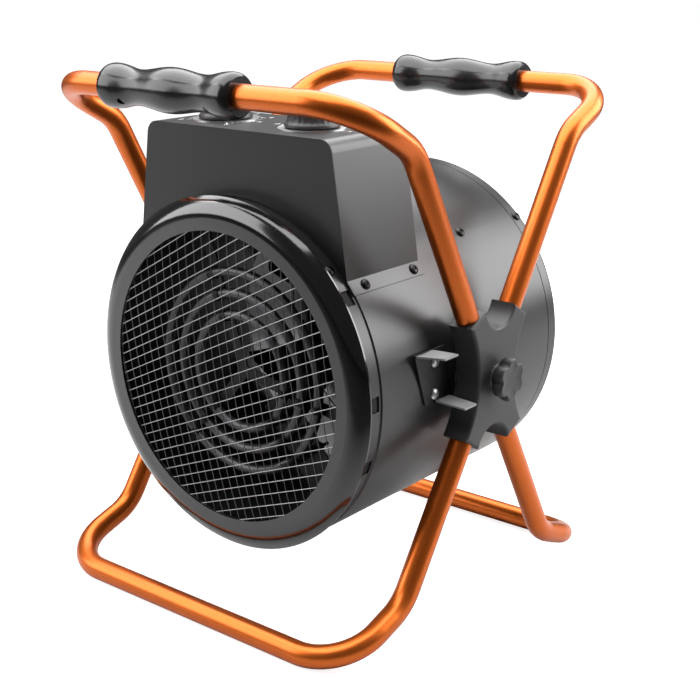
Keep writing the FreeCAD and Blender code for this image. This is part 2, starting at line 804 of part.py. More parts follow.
sheet_wall = "bezel_wall"
rear = turned("rear_ring", [
    ("drum_radius - drum_wall", "rear_collar_front"),
    ("drum_radius - drum_wall", "drum_rear + rear_gap"),
    ("rear_ring_radius", "drum_rear + rear_gap"),
    ("rear_ring_radius", "rear_ring_end - rear_ring_round"),
    ("rear_ring_radius - rear_ring_round", "rear_ring_end", "rear_ring_round", -1),
    ("rear_opening", "rear_ring_end"),
    ("rear_opening", "rear_ring_end - bezel_wall"),
    ("rear_ring_radius - rear_ring_round", "rear_ring_end - bezel_wall"),
    ("rear_ring_radius - bezel_wall", "rear_ring_end - rear_ring_round",
     "rear_ring_round - bezel_wall", 1),
    ("rear_ring_radius - bezel_wall", "drum_rear + rear_gap + bezel_wall"),
    ("drum_radius - drum_wall - 1", "drum_rear + rear_gap + bezel_wall"),
    ("drum_radius - drum_wall - 1", "rear_collar_front"),
])
node(drilled("rear_ring", rear, [
    rod(f"rear_hole_{angle}", "screw_radius", "20", on_circle(SHELL_BORE, angle, REAR_SCREW_LINE),
        on_circle(1, angle, 0)) for angle in RING_ANGLES]), "rear_ring", "drum")


def rear_grille():
    """Concentric wire rings on radial spokes, behind the rear opening."""
    wire = size("grille_wire")
    back = size("rear_ring_end - bezel_wall")
    outer = size("rear_opening") + wire
    rings = int(size("grille_rings"))
    parts = []
    for index in range(1, rings + 1):
        parts.append(Part.makeTorus(outer * index / rings, wire, Vector(0, back - wire, 0),
                                    Vector(0, 1, 0)))
    spokes = int(size("grille_spokes"))
    for index in range(spokes):
        turn = 360 * (index + 0.5) / spokes
        start = Vector(*on_circle(outer / rings - wire, turn, back - 3 * wire))
        length = outer - outer / rings + 2 * wire
        parts.append(Part.makeCylinder(wire, length, start, Vector(*on_circle(1, turn, 0))))
    return solid_node(Part.makeCompound(parts), "rear_grille", "drum")


rear_grille()

# ---------------------------------------------------------------- duct and elements

node(turned("inner_duct", [
    ("duct_radius - duct_wall", "duct_front"),
    ("duct_radius", "duct_front"),
    ("duct_radius", "collar_rear + 0.5"),
    ("band_radius - drum_wall", "collar_rear + 0.5"),
    ("band_radius - drum_wall", "collar_rear + 0.5 + duct_wall"),
    ("duct_radius", "collar_rear + 0.5 + duct_wall"),
    ("duct_radius", "duct_rear - duct_wall"),
    ("drum_radius - drum_wall", "duct_rear - duct_wall"),
    ("drum_radius - drum_wall", "duct_rear"),
    ("duct_radius - duct_wall", "duct_rear"),
]), "inner_duct", "drum")


def element_path(radius):
    """An open ring whose two ends turn back into straight legs."""
    plane, bend = size("element_plane"), size("leg_bend")
    middle = size("element_gap_angle")
    spread = math.degrees(size("leg_spacing") / 2 / radius)
    back = Vector(0, 1, 0)
    ends = []
    for sign in (1, -1):
        angle = middle + sign * spread
        tip = Vector(*on_circle(radius, angle + sign * math.degrees(bend / radius), plane))
        along = Vector(*on_circle(1, angle + sign * math.degrees(bend / radius) - sign * 90, 0))
        quarter = tip + along * (bend * math.sin(math.pi / 4)) + back * (bend * (1 - math.cos(math.pi / 4)))
        foot = tip + along * bend + back * bend
        leg = Part.LineSegment(foot, Vector(foot.x, size("leg_end"), foot.z)).toShape()
        ends.append((tip, [Part.Arc(tip, quarter, foot).toShape(), leg]))
    far = Vector(*on_circle(radius, middle + 180, plane))
    ring = Part.Arc(ends[0][0], far, ends[1][0]).toShape()
    return Part.Wire(Part.__sortEdges__([ends[0][1][1], ends[0][1][0], ring] + ends[1][1]))


LEG_ENDS = []
for index, name in enumerate(("inner", "middle", "outer")):
    radius = size(f"inner_element + {index} * element_step")
    path = element_path(radius)
    ends = [vertex.Point for vertex in path.Vertexes if abs(vertex.Point.y - size("leg_end")) < 1e-6]
    terminals = [Part.makeCylinder(1.5, 9, point, Vector(0, 1, 0)) for point in ends]
    element = Part.makeCompound([pipe(path, size("element_tube"))] + terminals)
    solid_node(element, f"{name}_heating_element", "drum")
    LEG_ENDS += ends


def duct_limit(name, low, depth):
    return rod(name, "duct_radius - duct_wall", str(depth), (0, low, 0), (0, 1, 0))


def element_support():
    """Three flat arms behind the elements, reaching the duct."""
    low = size("element_plane + element_tube")
    depth = size("strip_depth")
    half = size("support_width") / 2
    arms = [slab(f"support_arm_{index}", (0, low, -half), (SHELL_BORE + 10, low + depth, half), -angle)
            for index, angle in enumerate(SUPPORT_ANGLES)]
    plate = clipped("element_support", joined("support_arms", arms),
                    duct_limit("support_limit", low, depth))
    return node(plate, "element_support", "drum")


def element_clips():
    """A strap over each element at each arm."""
    tube = size("element_tube") + 0.15
    plane = size("element_plane")
    clips = []
    for radius in (size(f"inner_element + {index} * element_step") for index in range(3)):
        for angle in SUPPORT_ANGLES:
            spot = Vector(*on_circle(radius, angle, plane))
            tangent = Vector(*on_circle(1, angle + 90, 0))
            start = spot - tangent * 3
            rib = Part.makeCylinder(tube + 0.8, 6, start, tangent)
            hollow = Part.makeCylinder(tube, 6, start, tangent)
            turn = Rotation(Vector(0, 1, 0), -angle)
            rib = rib.fuse(sided(2 * tube + 1.6, tube - 0.15, spot, turn))
            hollow = hollow.fuse(sided(2 * tube, tube - 0.15, spot, turn))
            clips.append(rib.cut(hollow).cut(half_space(spot, tube - 0.15)))
    return solid_node(Part.makeCompound(clips), "element_clips", "drum")


def sided(width, depth, spot, turn):
    """The straight legs of a clip, from the element's axis back to the arm."""
    box = Part.makeBox(width, depth, 6, Vector(-width / 2, 0, -3))
    box.Placement = Placement(spot, turn) * box.Placement
    return box


def half_space(spot, depth):
    return Part.makeBox(60, 20, 60, spot + Vector(-30, depth, -30))


SUPPORT_ANGLES = (110, 230, 350)
element_support()
element_clips()

plate_low = size("terminal_plane")
strip = slab("terminal_strip", (30, plate_low, -17), (SHELL_BORE + 10, plate_low + size("strip_depth"), 17),
             -size("element_gap_angle"))
plate_blank = clipped("terminal_plate_blank", strip,
                      duct_limit("terminal_limit", plate_low, size("strip_depth")))
node(drilled("terminal_plate", plate_blank, [
    rod(f"leg_hole_{index}", "element_tube", "4", (point.x, plate_low - 1, point.z), (0, 1, 0))
    for index, point in enumerate(LEG_ENDS)]), "terminal_plate", "drum")

node(rod("thermal_cutout", "11", "9", (0, -60, size("duct_radius")), (0, 0, 1)), "thermal_cutout", "drum")

# ---------------------------------------------------------------- fan and motor

node(drilled("fan_motor", turned("fan_motor_can", [
    ("0", "motor_front - 3"),
    ("13", "motor_front - 3"),
    ("13", "motor_front"),
    ("motor_radius", "motor_front"),
    ("motor_radius", "motor_rear"),
    ("motor_radius - 10", "motor_rear + 6"),
    ("0", "motor_rear + 6"),
]), [rod("motor_bore", "motor_shaft_radius + running_gap", "40.5", (0, size("motor_front") - 4, 0),
         (0, 1, 0))] + [
    rod(f"motor_tap_{angle}", "screw_radius", "8", on_circle(MOTOR_SCREWS, angle + 45, size("motor_front")),
        (0, 1, 0))
    for angle in RING_ANGLES]), "fan_motor", "drum")


def motor_bracket():
    """A cross of four arms with folded feet against the drum wall."""
    plate = size("motor_front - bracket_depth")
    half = size("bracket_width") / 2
    rim = size("drum_radius - drum_wall")
    low = size("bracket_screws") - 7
    pieces = []
    for index, angle in enumerate(RING_ANGLES):
        pieces.append(slab(f"bracket_arm_{index}", (0, plate, -half),
                           (SHELL_BORE + 20, size("motor_front"), half), -angle))
        pieces.append(slab(f"bracket_foot_{index}", (rim - 2.3, low, -half),
                           (SHELL_BORE + 20, size("motor_front"), half), -angle))
    pieces.append(rod("bracket_disc", "motor_radius - 4", "bracket_depth", (0, plate, 0), (0, 1, 0)))
    limit = rod("bracket_limit", "drum_radius - drum_wall", "60", (0, 0, 0), (0, 1, 0))
    cross = clipped("motor_bracket_blank", joined("bracket_pieces", pieces), limit)
    holes = [rod("bracket_bore", "13", "10", (0, plate - 2, 0), (0, 1, 0))]
    for angle in RING_ANGLES:
        holes.append(rod(f"bracket_foot_hole_{angle}", "screw_radius", "20",
                         on_circle(SHELL_BORE, angle, size("bracket_screws")), on_circle(1, angle, 0)))
        holes.append(rod(f"bracket_motor_hole_{angle}", "screw_radius", "8",
                         on_circle(MOTOR_SCREWS, angle + 45, plate - 2), (0, 1, 0)))
    return node(drilled("motor_bracket", cross, holes), "motor_bracket", "drum")


motor_bracket()

def fan_wheel():
    """Pitched blades on a hub, each blade a twisted plate."""
    hub = size("fan_hub_radius")
    tip = size("fan_radius")
    front, depth = size("fan_front"), size("fan_depth")
    count = int(size("fan_blades"))
    shape = Part.makeCylinder(hub, depth, Vector(0, front, 0), Vector(0, 1, 0))
    for index in range(count):
        sections = []
        for radius, pitch, chord in ((hub - 3, 42, 34), (0.55 * (hub + tip), 30, 62), (tip - 4, 22, 84)):
            lean = math.radians(pitch)
            chord_line = Vector(0, math.sin(lean), math.cos(lean)) * (chord / 2)
            skin = Vector(0, math.cos(lean), -math.sin(lean)) * 0.8
            middle = Vector(radius, front + depth / 2, 0)
            corners = [middle - chord_line - skin, middle + chord_line - skin,
                       middle + chord_line + skin, middle - chord_line + skin]
            sections.append(Part.makePolygon(corners + corners[:1]))
        blade = Part.makeLoft(sections, True)
        blade.rotate(Vector(), Vector(0, 1, 0), 360 * index / count)
        shape = shape.fuse(blade)
    limit = Part.makeCylinder(tip, 2 * depth, Vector(0, front - depth / 2, 0), Vector(0, 1, 0))
    bore = Part.makeCylinder(size("motor_shaft_radius"), depth + 10, Vector(0, front - 5, 0), Vector(0, 1, 0))
    return solid_node(shape.common(limit).cut(bore), "fan_wheel", "drum")


fan_wheel()
node(rod("motor_shaft", "motor_shaft_radius", "motor_front + 34 - fan_front + 8",
         (0, size("fan_front") - 8, 0), (0, 1, 0)), "motor_shaft", "drum")
fan_nut = doc.addObject("Part::Prism", "fan_nut_hexagon")
fan_nut.Polygon = 6
fan_nut.Circumradius = 8
fan_nut.Height = 5
fan_nut.Placement = Placement(Vector(0, size("fan_front") - 5, 0), Rotation(Vector(0, 0, 1), Vector(0, 1, 0)))
node(drilled("fan_nut", fan_nut, [
    rod("fan_nut_thread", "motor_shaft_radius", "5", (0, size("fan_front") - 5, 0), (0, 1, 0))]),
    "fan_nut", "drum")

# ---------------------------------------------------------------- control box


def box_outline(flanged):
    """Half-width falls towards the top; the foot follows the drum."""
    fold = "box_fold_angle * 1deg"
    tip = "box_flange_angle * 1deg"
    skin = "(drum_radius + flange_wall)"
    right = [
        (f"drum_radius * cos({tip})", f"drum_radius * sin({tip})"),
        (f"{skin} * cos({tip})", f"{skin} * sin({tip})"),
        (f"{skin} * cos({fold})", f"{skin} * sin({fold})", skin, -1),
        ("box_top_half", "box_top"),
    ]
    if not flanged:
        right[2] = right[2][:2]
    left = [(f"-({corner[0]})", corner[1]) for corner in reversed(right)]
    if flanged:
        left[2] = (*left[2], skin, -1)
    outline = right + left
    outline[0] = (*outline[0], "drum_radius", 1)
    return outline


def crown_edge(level):
    """Picks the long edges that end at a level, such as the two upper corners."""
    height = size(level)
    return lambda edge: (edge.BoundBox.YLength > 1 and edge.BoundBox.XLength < 1e-3
                         and abs(edge.BoundBox.ZMax - height) < 1e-3
                         and edge.BoundBox.ZLength < 1e-3)


def box_piece(name, front, depth, flanged=False):
    """A piece of the box's outline. The flanged piece is hollow: it is the bent cover."""
    body = padded(name, "XZ_Plane", box_outline(flanged), depth, ("0", "0", f"-({front}) - ({depth})"))
    if flanged:
        pocketed(body, name + "_hollow", "XZ_Plane", [
            (foot_half, "60"),
            (foot_half, foot_level),
            (inner_half, "box_top - flange_wall"),
            (f"-({inner_half})", "box_top - flange_wall"),
            (f"-({foot_half})", foot_level),
            (f"-({foot_half})", "60"),
        ], ("0", "0", "0"))
        rounded(body, name + "_hollow_corners", crown_edge("box_top - flange_wall"),
                "box_corner - flange_wall")
    rounded(body, name + "_corners", crown_edge("box_top"), "box_corner")
    return body


inner_half = "box_top_half - flange_wall"
foot_half = "(drum_radius + flange_wall) * cos(box_fold_angle * 1deg) - flange_wall"
foot_level = "(drum_radius + flange_wall) * sin(box_fold_angle * 1deg)"
node(box_piece("front_plate", "box_front", "box_wall"), "front_plate", "drum")
cover = box_piece("box_cover", "box_front + box_wall", "box_rear - box_front - 2 * box_wall", True)
top_holes = []
for label, place in (("thermostat", "thermostat_place"), ("selector", "selector_place")):
    top_holes.append(rod(f"{label}_top_hole", "control_shaft + 2.5", "10",
                         (size(place), size("control_line"), size("box_top") - 5), (0, 0, 1)))
for index, angle in enumerate(FLANGE_ANGLES):
    for along in ("flange_screw_front", "flange_screw_rear"):
        top_holes.append(rod(f"flange_hole_{index}_{along}", "screw_radius", "20",
                             on_circle(SHELL_BORE + 8, angle, size(along)), on_circle(1, angle, 0)))
node(drilled("box_cover", cover, top_holes), "box_cover", "drum")
back = box_piece("back_plate", "box_rear - box_wall", "box_wall")
node(drilled("back_plate", back, [
    rod("gland_hole", "gland_bore + 3", "10", (size("gland_place"), size("box_rear") - 5,
                                               size("gland_height")), (0, 1, 0))]), "back_plate", "drum")

# ---------------------------------------------------------------- controls


def control(label, place):
    """Dial plate, switch body, shaft and knob of one control. Returns its nut."""
    top = size("box_top")
    x, y = size(place), size("control_line")
    up = (0, 0, 1)
    disc = rod(f"{label}_dial_disc", "dial_radius", "dial_depth", (x, y, top), up)
    hole = rod(f"{label}_dial_hole", "control_shaft + 2.5", "dial_depth", (x, y, top), up)
    node(drilled(f"{label}_dial", disc, [hole]), f"{label}_dial", "drum")
    under = top - size("flange_wall")
    housing = slab(f"{label}_housing", (x - 20, y - 18, under - 24), (x + 20, y + 18, under))
    bush = rod(f"{label}_bush", "control_shaft + 2.5", "flange_wall + dial_depth + 3.4", (x, y, under), up)
    bore = rod(f"{label}_bore", "control_shaft + running_gap", "24", (x, y, top - 16), up)
    node(drilled(f"{label}_body", joined(f"{label}_block", [housing, bush]), [bore]),
         f"{label}_body", "drum")
    seat = top + size("dial_depth")
    nut = doc.addObject("Part::Prism", f"{label}_nut_hexagon")
    nut.Polygon = 6
    nut.Circumradius = 8.5
    nut.Height = 3
    nut.Placement.Base = Vector(x, y, seat)
    thread = rod(f"{label}_nut_thread", "control_shaft + 2.5", "3", (x, y, seat), up)
    node(rod(f"{label}_shaft", "control_shaft", "26", (x, y, top - 15.5), up), f"{label}_shaft", "drum")
    low = "box_top + dial_depth + 0.6"
    shift = (place, "0", "-(control_line)")
    skirt = turned(f"{label}_knob_moulding", [
        ("10.5", low),
        ("knob_radius", low),
        ("knob_radius", f"{low} + 3"),
        ("knob_top_radius", f"{low} + knob_depth - 2.5"),
        ("knob_top_radius - 2.5", f"{low} + knob_depth", "2.5", -1),
        ("0", f"{low} + knob_depth"),
        ("0", f"{low} + 4.2"),
        ("10.5", f"{low} + 4.2"),
    ], shift=shift, role="XZ_Plane")
    socket = rod(f"{label}_knob_socket", "control_shaft", "8", (x, y, size(low) + 2), up)
    node(drilled(f"{label}_knob", skirt, [socket]), f"{label}_knob", "drum")
    return drilled(f"{label}_nut", nut, [thread])


node(group("control_nuts", [control("thermostat", "thermostat_place"),
                            control("selector", "selector_place")]), "control_nuts", "drum")

x, z = size("gland_place"), size("gland_height")
rear_face = size("box_rear")
gland = joined("gland_turning", [
    rod("gland_cap", "gland_radius", "12", (x, rear_face, z), (0, 1, 0)),
    rod("gland_neck", "gland_bore + 3", "box_wall + 6", (x, rear_face - size("box_wall") - 6, z), (0, 1, 0))])
node(drilled("cable_gland", gland, [rod("gland_way", "gland_bore", "40", (x, rear_face - 20, z), (0, 1, 0))]),
     "cable_gland", "drum")
locknut = rod("gland_locknut_disc", "gland_radius + 1", "4",
              (x, rear_face - size("box_wall") - 4, z), (0, 1, 0))
node(drilled("gland_locknut", locknut, [
    rod("gland_locknut_thread", "gland_bore + 3", "4", (x, rear_face - size("box_wall") - 4, z), (0, 1, 0))]),
    "gland_locknut", "drum")
node(slab("terminal_block", (15, rear_face - size("box_wall") - 20, z - 12),
          (70, rear_face - size("box_wall"), z + 8)), "terminal_block", "drum")

# ---------------------------------------------------------------- tilt stops


def tilt_stop(where, hand):
    """A bent strip on the drum's side. Its two tabs meet the stand at the ends of the tilt."""
    low, wall = size("stop_plane"), size("stop_wall")
    top, bottom, reach = size("stop_top"), size("stop_bottom"), size("stop_reach")

    def extruded(points, direction):
        points = [Vector(*point) for point in points]
        return Part.Face(Part.makePolygon(points + points[:1])).extrude(Vector(*direction))
    web = extruded([(low, -80, top), (low, -41, top), (low, -28, bottom), (low, -65, bottom)], (wall, 0, 0))
    upper = extruded([(low, -80, top), (low, -57, top), (reach - 2, -54, top), (reach - 2, -71, top)],
                     (0, 0, -wall))
    lower = extruded([(low, -53, bottom), (low, -34, bottom), (reach + 6, -39, bottom),
                      (reach + 6, -55, bottom)], (0, 0, wall))
    shape = web.fuse(upper).fuse(lower)
    for up in STOP_SCREWS:
        start = Vector(low - 10, size("stop_screw_line"), size(up))
        shape = shape.cut(Part.makeCylinder(size("screw_radius"), 20, start, Vector(1, 0, 0)))
    if hand < 0:
        shape = shape.mirror(Vector(), Vector(1, 0, 0))
    return solid_node(shape, f"{where}_tilt_stop", "drum")


stop_screws = []
for where, hand in (("right", 1), ("left", -1)):
    tilt_stop(where, hand)
    face = size("stop_plane + stop_wall")
    seats = [((hand * face, size("stop_screw_line"), size(up)), (hand, 0, 0)) for up in STOP_SCREWS]
    stop_screws += screws(f"{where}_stop_screw", seats, "8", "screw_head + 0.4")
node(group("stop_screws", stop_screws), "stop_screws", "drum")

# ---------------------------------------------------------------- drum screws


def ring_of_screws(name, radius, along, length):
    """Four screws round the drum, their heads outward."""
    seats = [(on_circle(size(radius), angle, size(along)), on_circle(1, angle, 0))
             for angle in RING_ANGLES]
    return screws(name, seats, length)


motor_seats = [(on_circle(MOTOR_SCREWS, angle + 45, size("motor_front - bracket_depth")), (0, -1, 0))
               for angle in RING_ANGLES]
flange_seats = [(on_circle(size("drum_radius + flange_wall"), angle, size(along)), on_circle(1, angle, 0))
                for angle in FLANGE_ANGLES for along in ("flange_screw_front", "flange_screw_rear")]
node(group("drum_screws", ring_of_screws("front_ring_screw", "band_radius", "screw_ring", "5")
           + ring_of_screws("bracket_screw", "drum_radius", "bracket_screws", "6")
           + ring_of_screws("rear_ring_screw", "rear_ring_radius", str(REAR_SCREW_LINE), "5")
           + screws("motor_screw", motor_seats, "bracket_depth + 7")
           + screws("flange_screw", flange_seats, "6")), "drum_screws", "drum")

# ---------------------------------------------------------------- checks and files

doc.recompute()
for item in doc.Objects:
    if "Invalid" in item.State or "Error" in item.State:
        raise RuntimeError(f"{item.Label} failed: {item.State}")
for item in NODES:
    if item.Shape.isNull() or not item.Shape.isValid():
        raise RuntimeError(f"{item.Label} has no valid shape")
os.makedirs("parts", exist_ok=True)
for item in NODES:
    item.Shape.exportStep(f"parts/{item.Label}.step")
print(len(NODES), "nodes")
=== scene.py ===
"""Looks of a drum fan heater on a tilting tubular stand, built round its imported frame."""

import json
import math

import bmesh
import bpy
from mathutils import Matrix, Vector


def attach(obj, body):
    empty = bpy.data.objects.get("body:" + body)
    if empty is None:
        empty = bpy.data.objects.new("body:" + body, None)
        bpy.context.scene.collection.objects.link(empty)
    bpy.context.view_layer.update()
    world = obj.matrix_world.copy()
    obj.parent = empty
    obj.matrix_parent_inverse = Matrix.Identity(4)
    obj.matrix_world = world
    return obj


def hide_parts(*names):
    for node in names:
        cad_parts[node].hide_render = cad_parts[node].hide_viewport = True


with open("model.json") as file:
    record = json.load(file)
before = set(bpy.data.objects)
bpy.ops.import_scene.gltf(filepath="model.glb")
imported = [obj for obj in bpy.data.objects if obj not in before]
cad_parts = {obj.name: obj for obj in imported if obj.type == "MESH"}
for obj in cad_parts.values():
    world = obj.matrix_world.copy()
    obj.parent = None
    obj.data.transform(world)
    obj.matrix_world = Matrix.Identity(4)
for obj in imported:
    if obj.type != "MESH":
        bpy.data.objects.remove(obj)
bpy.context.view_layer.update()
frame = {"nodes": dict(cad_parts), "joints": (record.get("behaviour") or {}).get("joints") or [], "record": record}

bl_info = {
    "name": "Drum Heater Looks",
    "version": (1, 0, 0),
    "blender": (4, 5, 0),
    "location": "3D View > Sidebar > Drum Heater",
    "description": "Finishes, guard wires, screws, knobs and dial scales of a drum fan heater",
    "category": "Object",
}

MM = 0.001

# The drum's own frame: its origin on the tilt pivot, -Y along the axis to the outlet, Z up.
JOINTS = {joint["name"]: joint for joint in frame["joints"]}
PIVOT = Vector(JOINTS["drum_tilt"]["pos_m"])
OUTLET = Vector(JOINTS["fan_spin"]["axis"])
DRUM = Matrix.Translation(PIVOT) @ Matrix.Rotation(math.atan2(-OUTLET.z, -OUTLET.y), 4, "X")

# The two controls, with the last number on each dial's scale.
CONTROLS = {"thermostat": 6, "selector": 3}


# ------------------------------------------------------------------ node trees

class Value:
    """A node's output socket that can be added, multiplied and compared as a number."""

    def __init__(self, tree, socket):
        self.tree = tree
        self.socket = socket

    def math(self, operation, *others, clamp=False):
        node = self.tree.nodes.new("ShaderNodeMath")
        node.operation = operation
        node.use_clamp = clamp
        for place, operand in enumerate((self, *others)):
            connect(self.tree, operand, node.inputs[place])
        return Value(self.tree, node.outputs[0])

    def __add__(self, other):
        return self.math("ADD", other)

    def __radd__(self, other):
        return self.math("ADD", other)

    def __sub__(self, other):
        return self.math("SUBTRACT", other)

    def __rsub__(self, other):
        return constant(self, other).math("SUBTRACT", self)

    def __mul__(self, other):
        return self.math("MULTIPLY", other)

    def __rmul__(self, other):
        return self.math("MULTIPLY", other)

    def __gt__(self, other):
        return self.math("GREATER_THAN", other)


def constant(value, number):
    """A number as a value, for a sum that starts with a number."""
    node = value.tree.nodes.new("ShaderNodeMath")
    node.operation = "ADD"
    node.inputs[0].default_value = number
    node.inputs[1].default_value = 0.0
    return Value(value.tree, node.outputs[0])


def connect(tree, source, socket):
    """Links a value to a socket, or sets the socket where the source is a plain number."""
    if isinstance(source, Value):
        tree.links.new(source.socket, socket)
    else:
        socket.default_value = source


class Tree:
    """Adds nodes to a tree: a type, its settings, then the values or links of its sockets."""

    def __init__(self, tree):
        self.tree = tree

    def add(self, kind, settings=None, sockets=None, output=0):
        node = self.tree.nodes.new(kind)
        for name, setting in (settings or {}).items():
            setattr(node, name, setting)
        for name, source in (sockets or {}).items():
            connect(self.tree, source, node.inputs[name])
        return Value(self.tree, node.outputs[output])

    def axes(self, vector):
        """The X, Y and Z of a vector."""
        node = self.add("ShaderNodeSeparateXYZ", {}, {"Vector": vector}).socket.node
        return [Value(self.tree, output) for output in node.outputs]


class Finish(Tree):
    """A material with one Principled shader."""

    def __init__(self, name, **sockets):
        self.material = bpy.data.materials.new(name)
        self.material.use_nodes = True
        super().__init__(self.material.node_tree)
        self.shader = self.tree.nodes["Principled BSDF"]
        self.place = self.add("ShaderNodeTexCoord", output="Object")
        self.set(**sockets)

    def set(self, **sockets):
        for name, source in sockets.items():
            connect(self.tree, source, self.shader.inputs[name.replace("_", " ")])

    def noise(self, scale, detail=2.0, place=None, roughness=0.5):
        return self.add("ShaderNodeTexNoise", {}, {
            "Vector": place or self.place, "Scale": scale, "Detail": detail,
            "Roughness": roughness})

    def between(self, factor, low, high):
        """A colour between two colours."""
        return self.add("ShaderNodeMix", {"data_type": "RGBA"}, {
            0: factor, 6: low, 7: high}, output=2)

    def bump(self, height, strength, distance):
        self.set(Normal=self.add("ShaderNodeBump", {}, {
            "Height": height, "Strength": strength, "Distance": distance}))

    def stretched(self, scale):
        """Object coordinates with the axes scaled, for marks that run one way."""
        return self.add("ShaderNodeMapping", {}, {"Vector": self.place, "Scale": scale})


def opaque(colour):
    return (*colour, 1.0)


def grey(shade):
    return (shade, shade, shade, 1.0)


def scaled(colour, factor):
    return opaque([channel * factor for channel in colour[:3]])


# ------------------------------------------------------------------ finishes

def painted(name, colour, roughness, grain=900.0, metallic=0.0, coat=0.0, spread=0.12,
            bump=0.06):
    """Sprayed paint: faint clouding of the colour and gloss, and a fine orange peel."""
    finish = Finish(name, Metallic=metallic, Coat_Weight=coat, Coat_Roughness=0.12)
    cloud = finish.noise(14.0, 4.0)
    peel = finish.noise(grain, 2.0)
    finish.set(
        Base_Color=finish.between(cloud, scaled(colour, 1 - spread), scaled(colour, 1 + spread)),
        Roughness=cloud * 0.08 + peel * 0.05 + (roughness - 0.065))
    finish.bump(peel, bump, 0.0004)
    return finish.material


def metallic_paint(name, colour):
    """Metallic paint: flakes that lighten the colour, under a clear coat."""
    finish = Finish(name, Metallic=0.85, Coat_Weight=0.18, Coat_Roughness=0.16)
    cloud = finish.noise(9.0, 3.0)
    flake = finish.noise(4200.0, 1.0)
    warm = finish.between(cloud, scaled(colour, 0.88), scaled(colour, 1.08))
    sparkle = (flake - 0.5) * 1.6
    finish.set(
        Base_Color=finish.between(sparkle.math("MAXIMUM", 0.0), warm, scaled(colour, 1.6)),
        Roughness=cloud * 0.06 + flake * 0.08 + 0.28)
    finish.bump(finish.noise(700.0, 1.0), 0.05, 0.0004)
    return finish.material


def moulded(name, colour, roughness, texture, depth):
    """Moulded plastic with a spark-eroded grain."""
    finish = Finish(name)
    cloud = finish.noise(22.0, 3.0)
    grain = finish.noise(texture, 3.0, roughness=0.65)
    finish.set(
        Base_Color=finish.between(cloud, scaled(colour, 0.85), scaled(colour, 1.15)),
        Roughness=cloud * 0.06 + grain * 0.1 + (roughness - 0.08))
    finish.bump(grain, depth, 0.0003)
    return finish.material


def bare_metal(name, colour, roughness, direction=(60.0, 60.0, 900.0), stain=0.25):
    """Plated or rolled metal with faint lines and a dull bloom."""
    finish = Finish(name, Metallic=1.0)
    lines = finish.noise(1.0, 3.0, finish.stretched(direction))
    bloom = finish.noise(35.0, 4.0)
    finish.set(
        Base_Color=finish.between(bloom, scaled(colour, 1 - stain), opaque(colour)),
        Roughness=lines * 0.14 + bloom * 0.1 + (roughness - 0.12))
    finish.bump(lines, 0.08, 0.0002)
    return finish.material


def heated_steel(name, colour, patch_colour):
    """Dark steel with a bluish tint in patches: heat tarnish on the element sheaths, and painted shade on the
    other parts deep inside the drum.
    """
    finish = Finish(name, Metallic=0.85)
    patch = finish.noise(48.0, 5.0)
    fine = finish.noise(900.0, 2.0)
    finish.set(
        Base_Color=finish.between(patch, scaled(colour, 0.6), opaque(patch_colour)),
        Roughness=patch * 0.18 + fine * 0.08 + 0.26)
    finish.bump(fine, 0.12, 0.0003)
    return finish.material


def stop_paint(name, tab_start=149.5 * MM):
    """Black paint on a tilt stop's web, and grey past the distance at which its tabs start: a painted reflection
    of the light on the tabs' black paint.
    """
    finish = Finish(name, Metallic=0.2)
    side = finish.axes(finish.place)[0].math("ABSOLUTE")
    stop_mottle = finish.noise(160.0, 4.0)
    on_tab = side + stop_mottle * 0.002 > tab_start
    # The tabs' mottled grey is a painted reflection, not the colour of the paint.
    tab_painted_reflection = finish.between(stop_mottle, grey(0.22), grey(0.34))
    finish.set(
        Base_Color=finish.between(on_tab, grey(0.006), tab_painted_reflection),
        Roughness=stop_mottle * 0.1 + 0.34)
    finish.bump(stop_mottle, 0.06, 0.0003)
    return finish.material


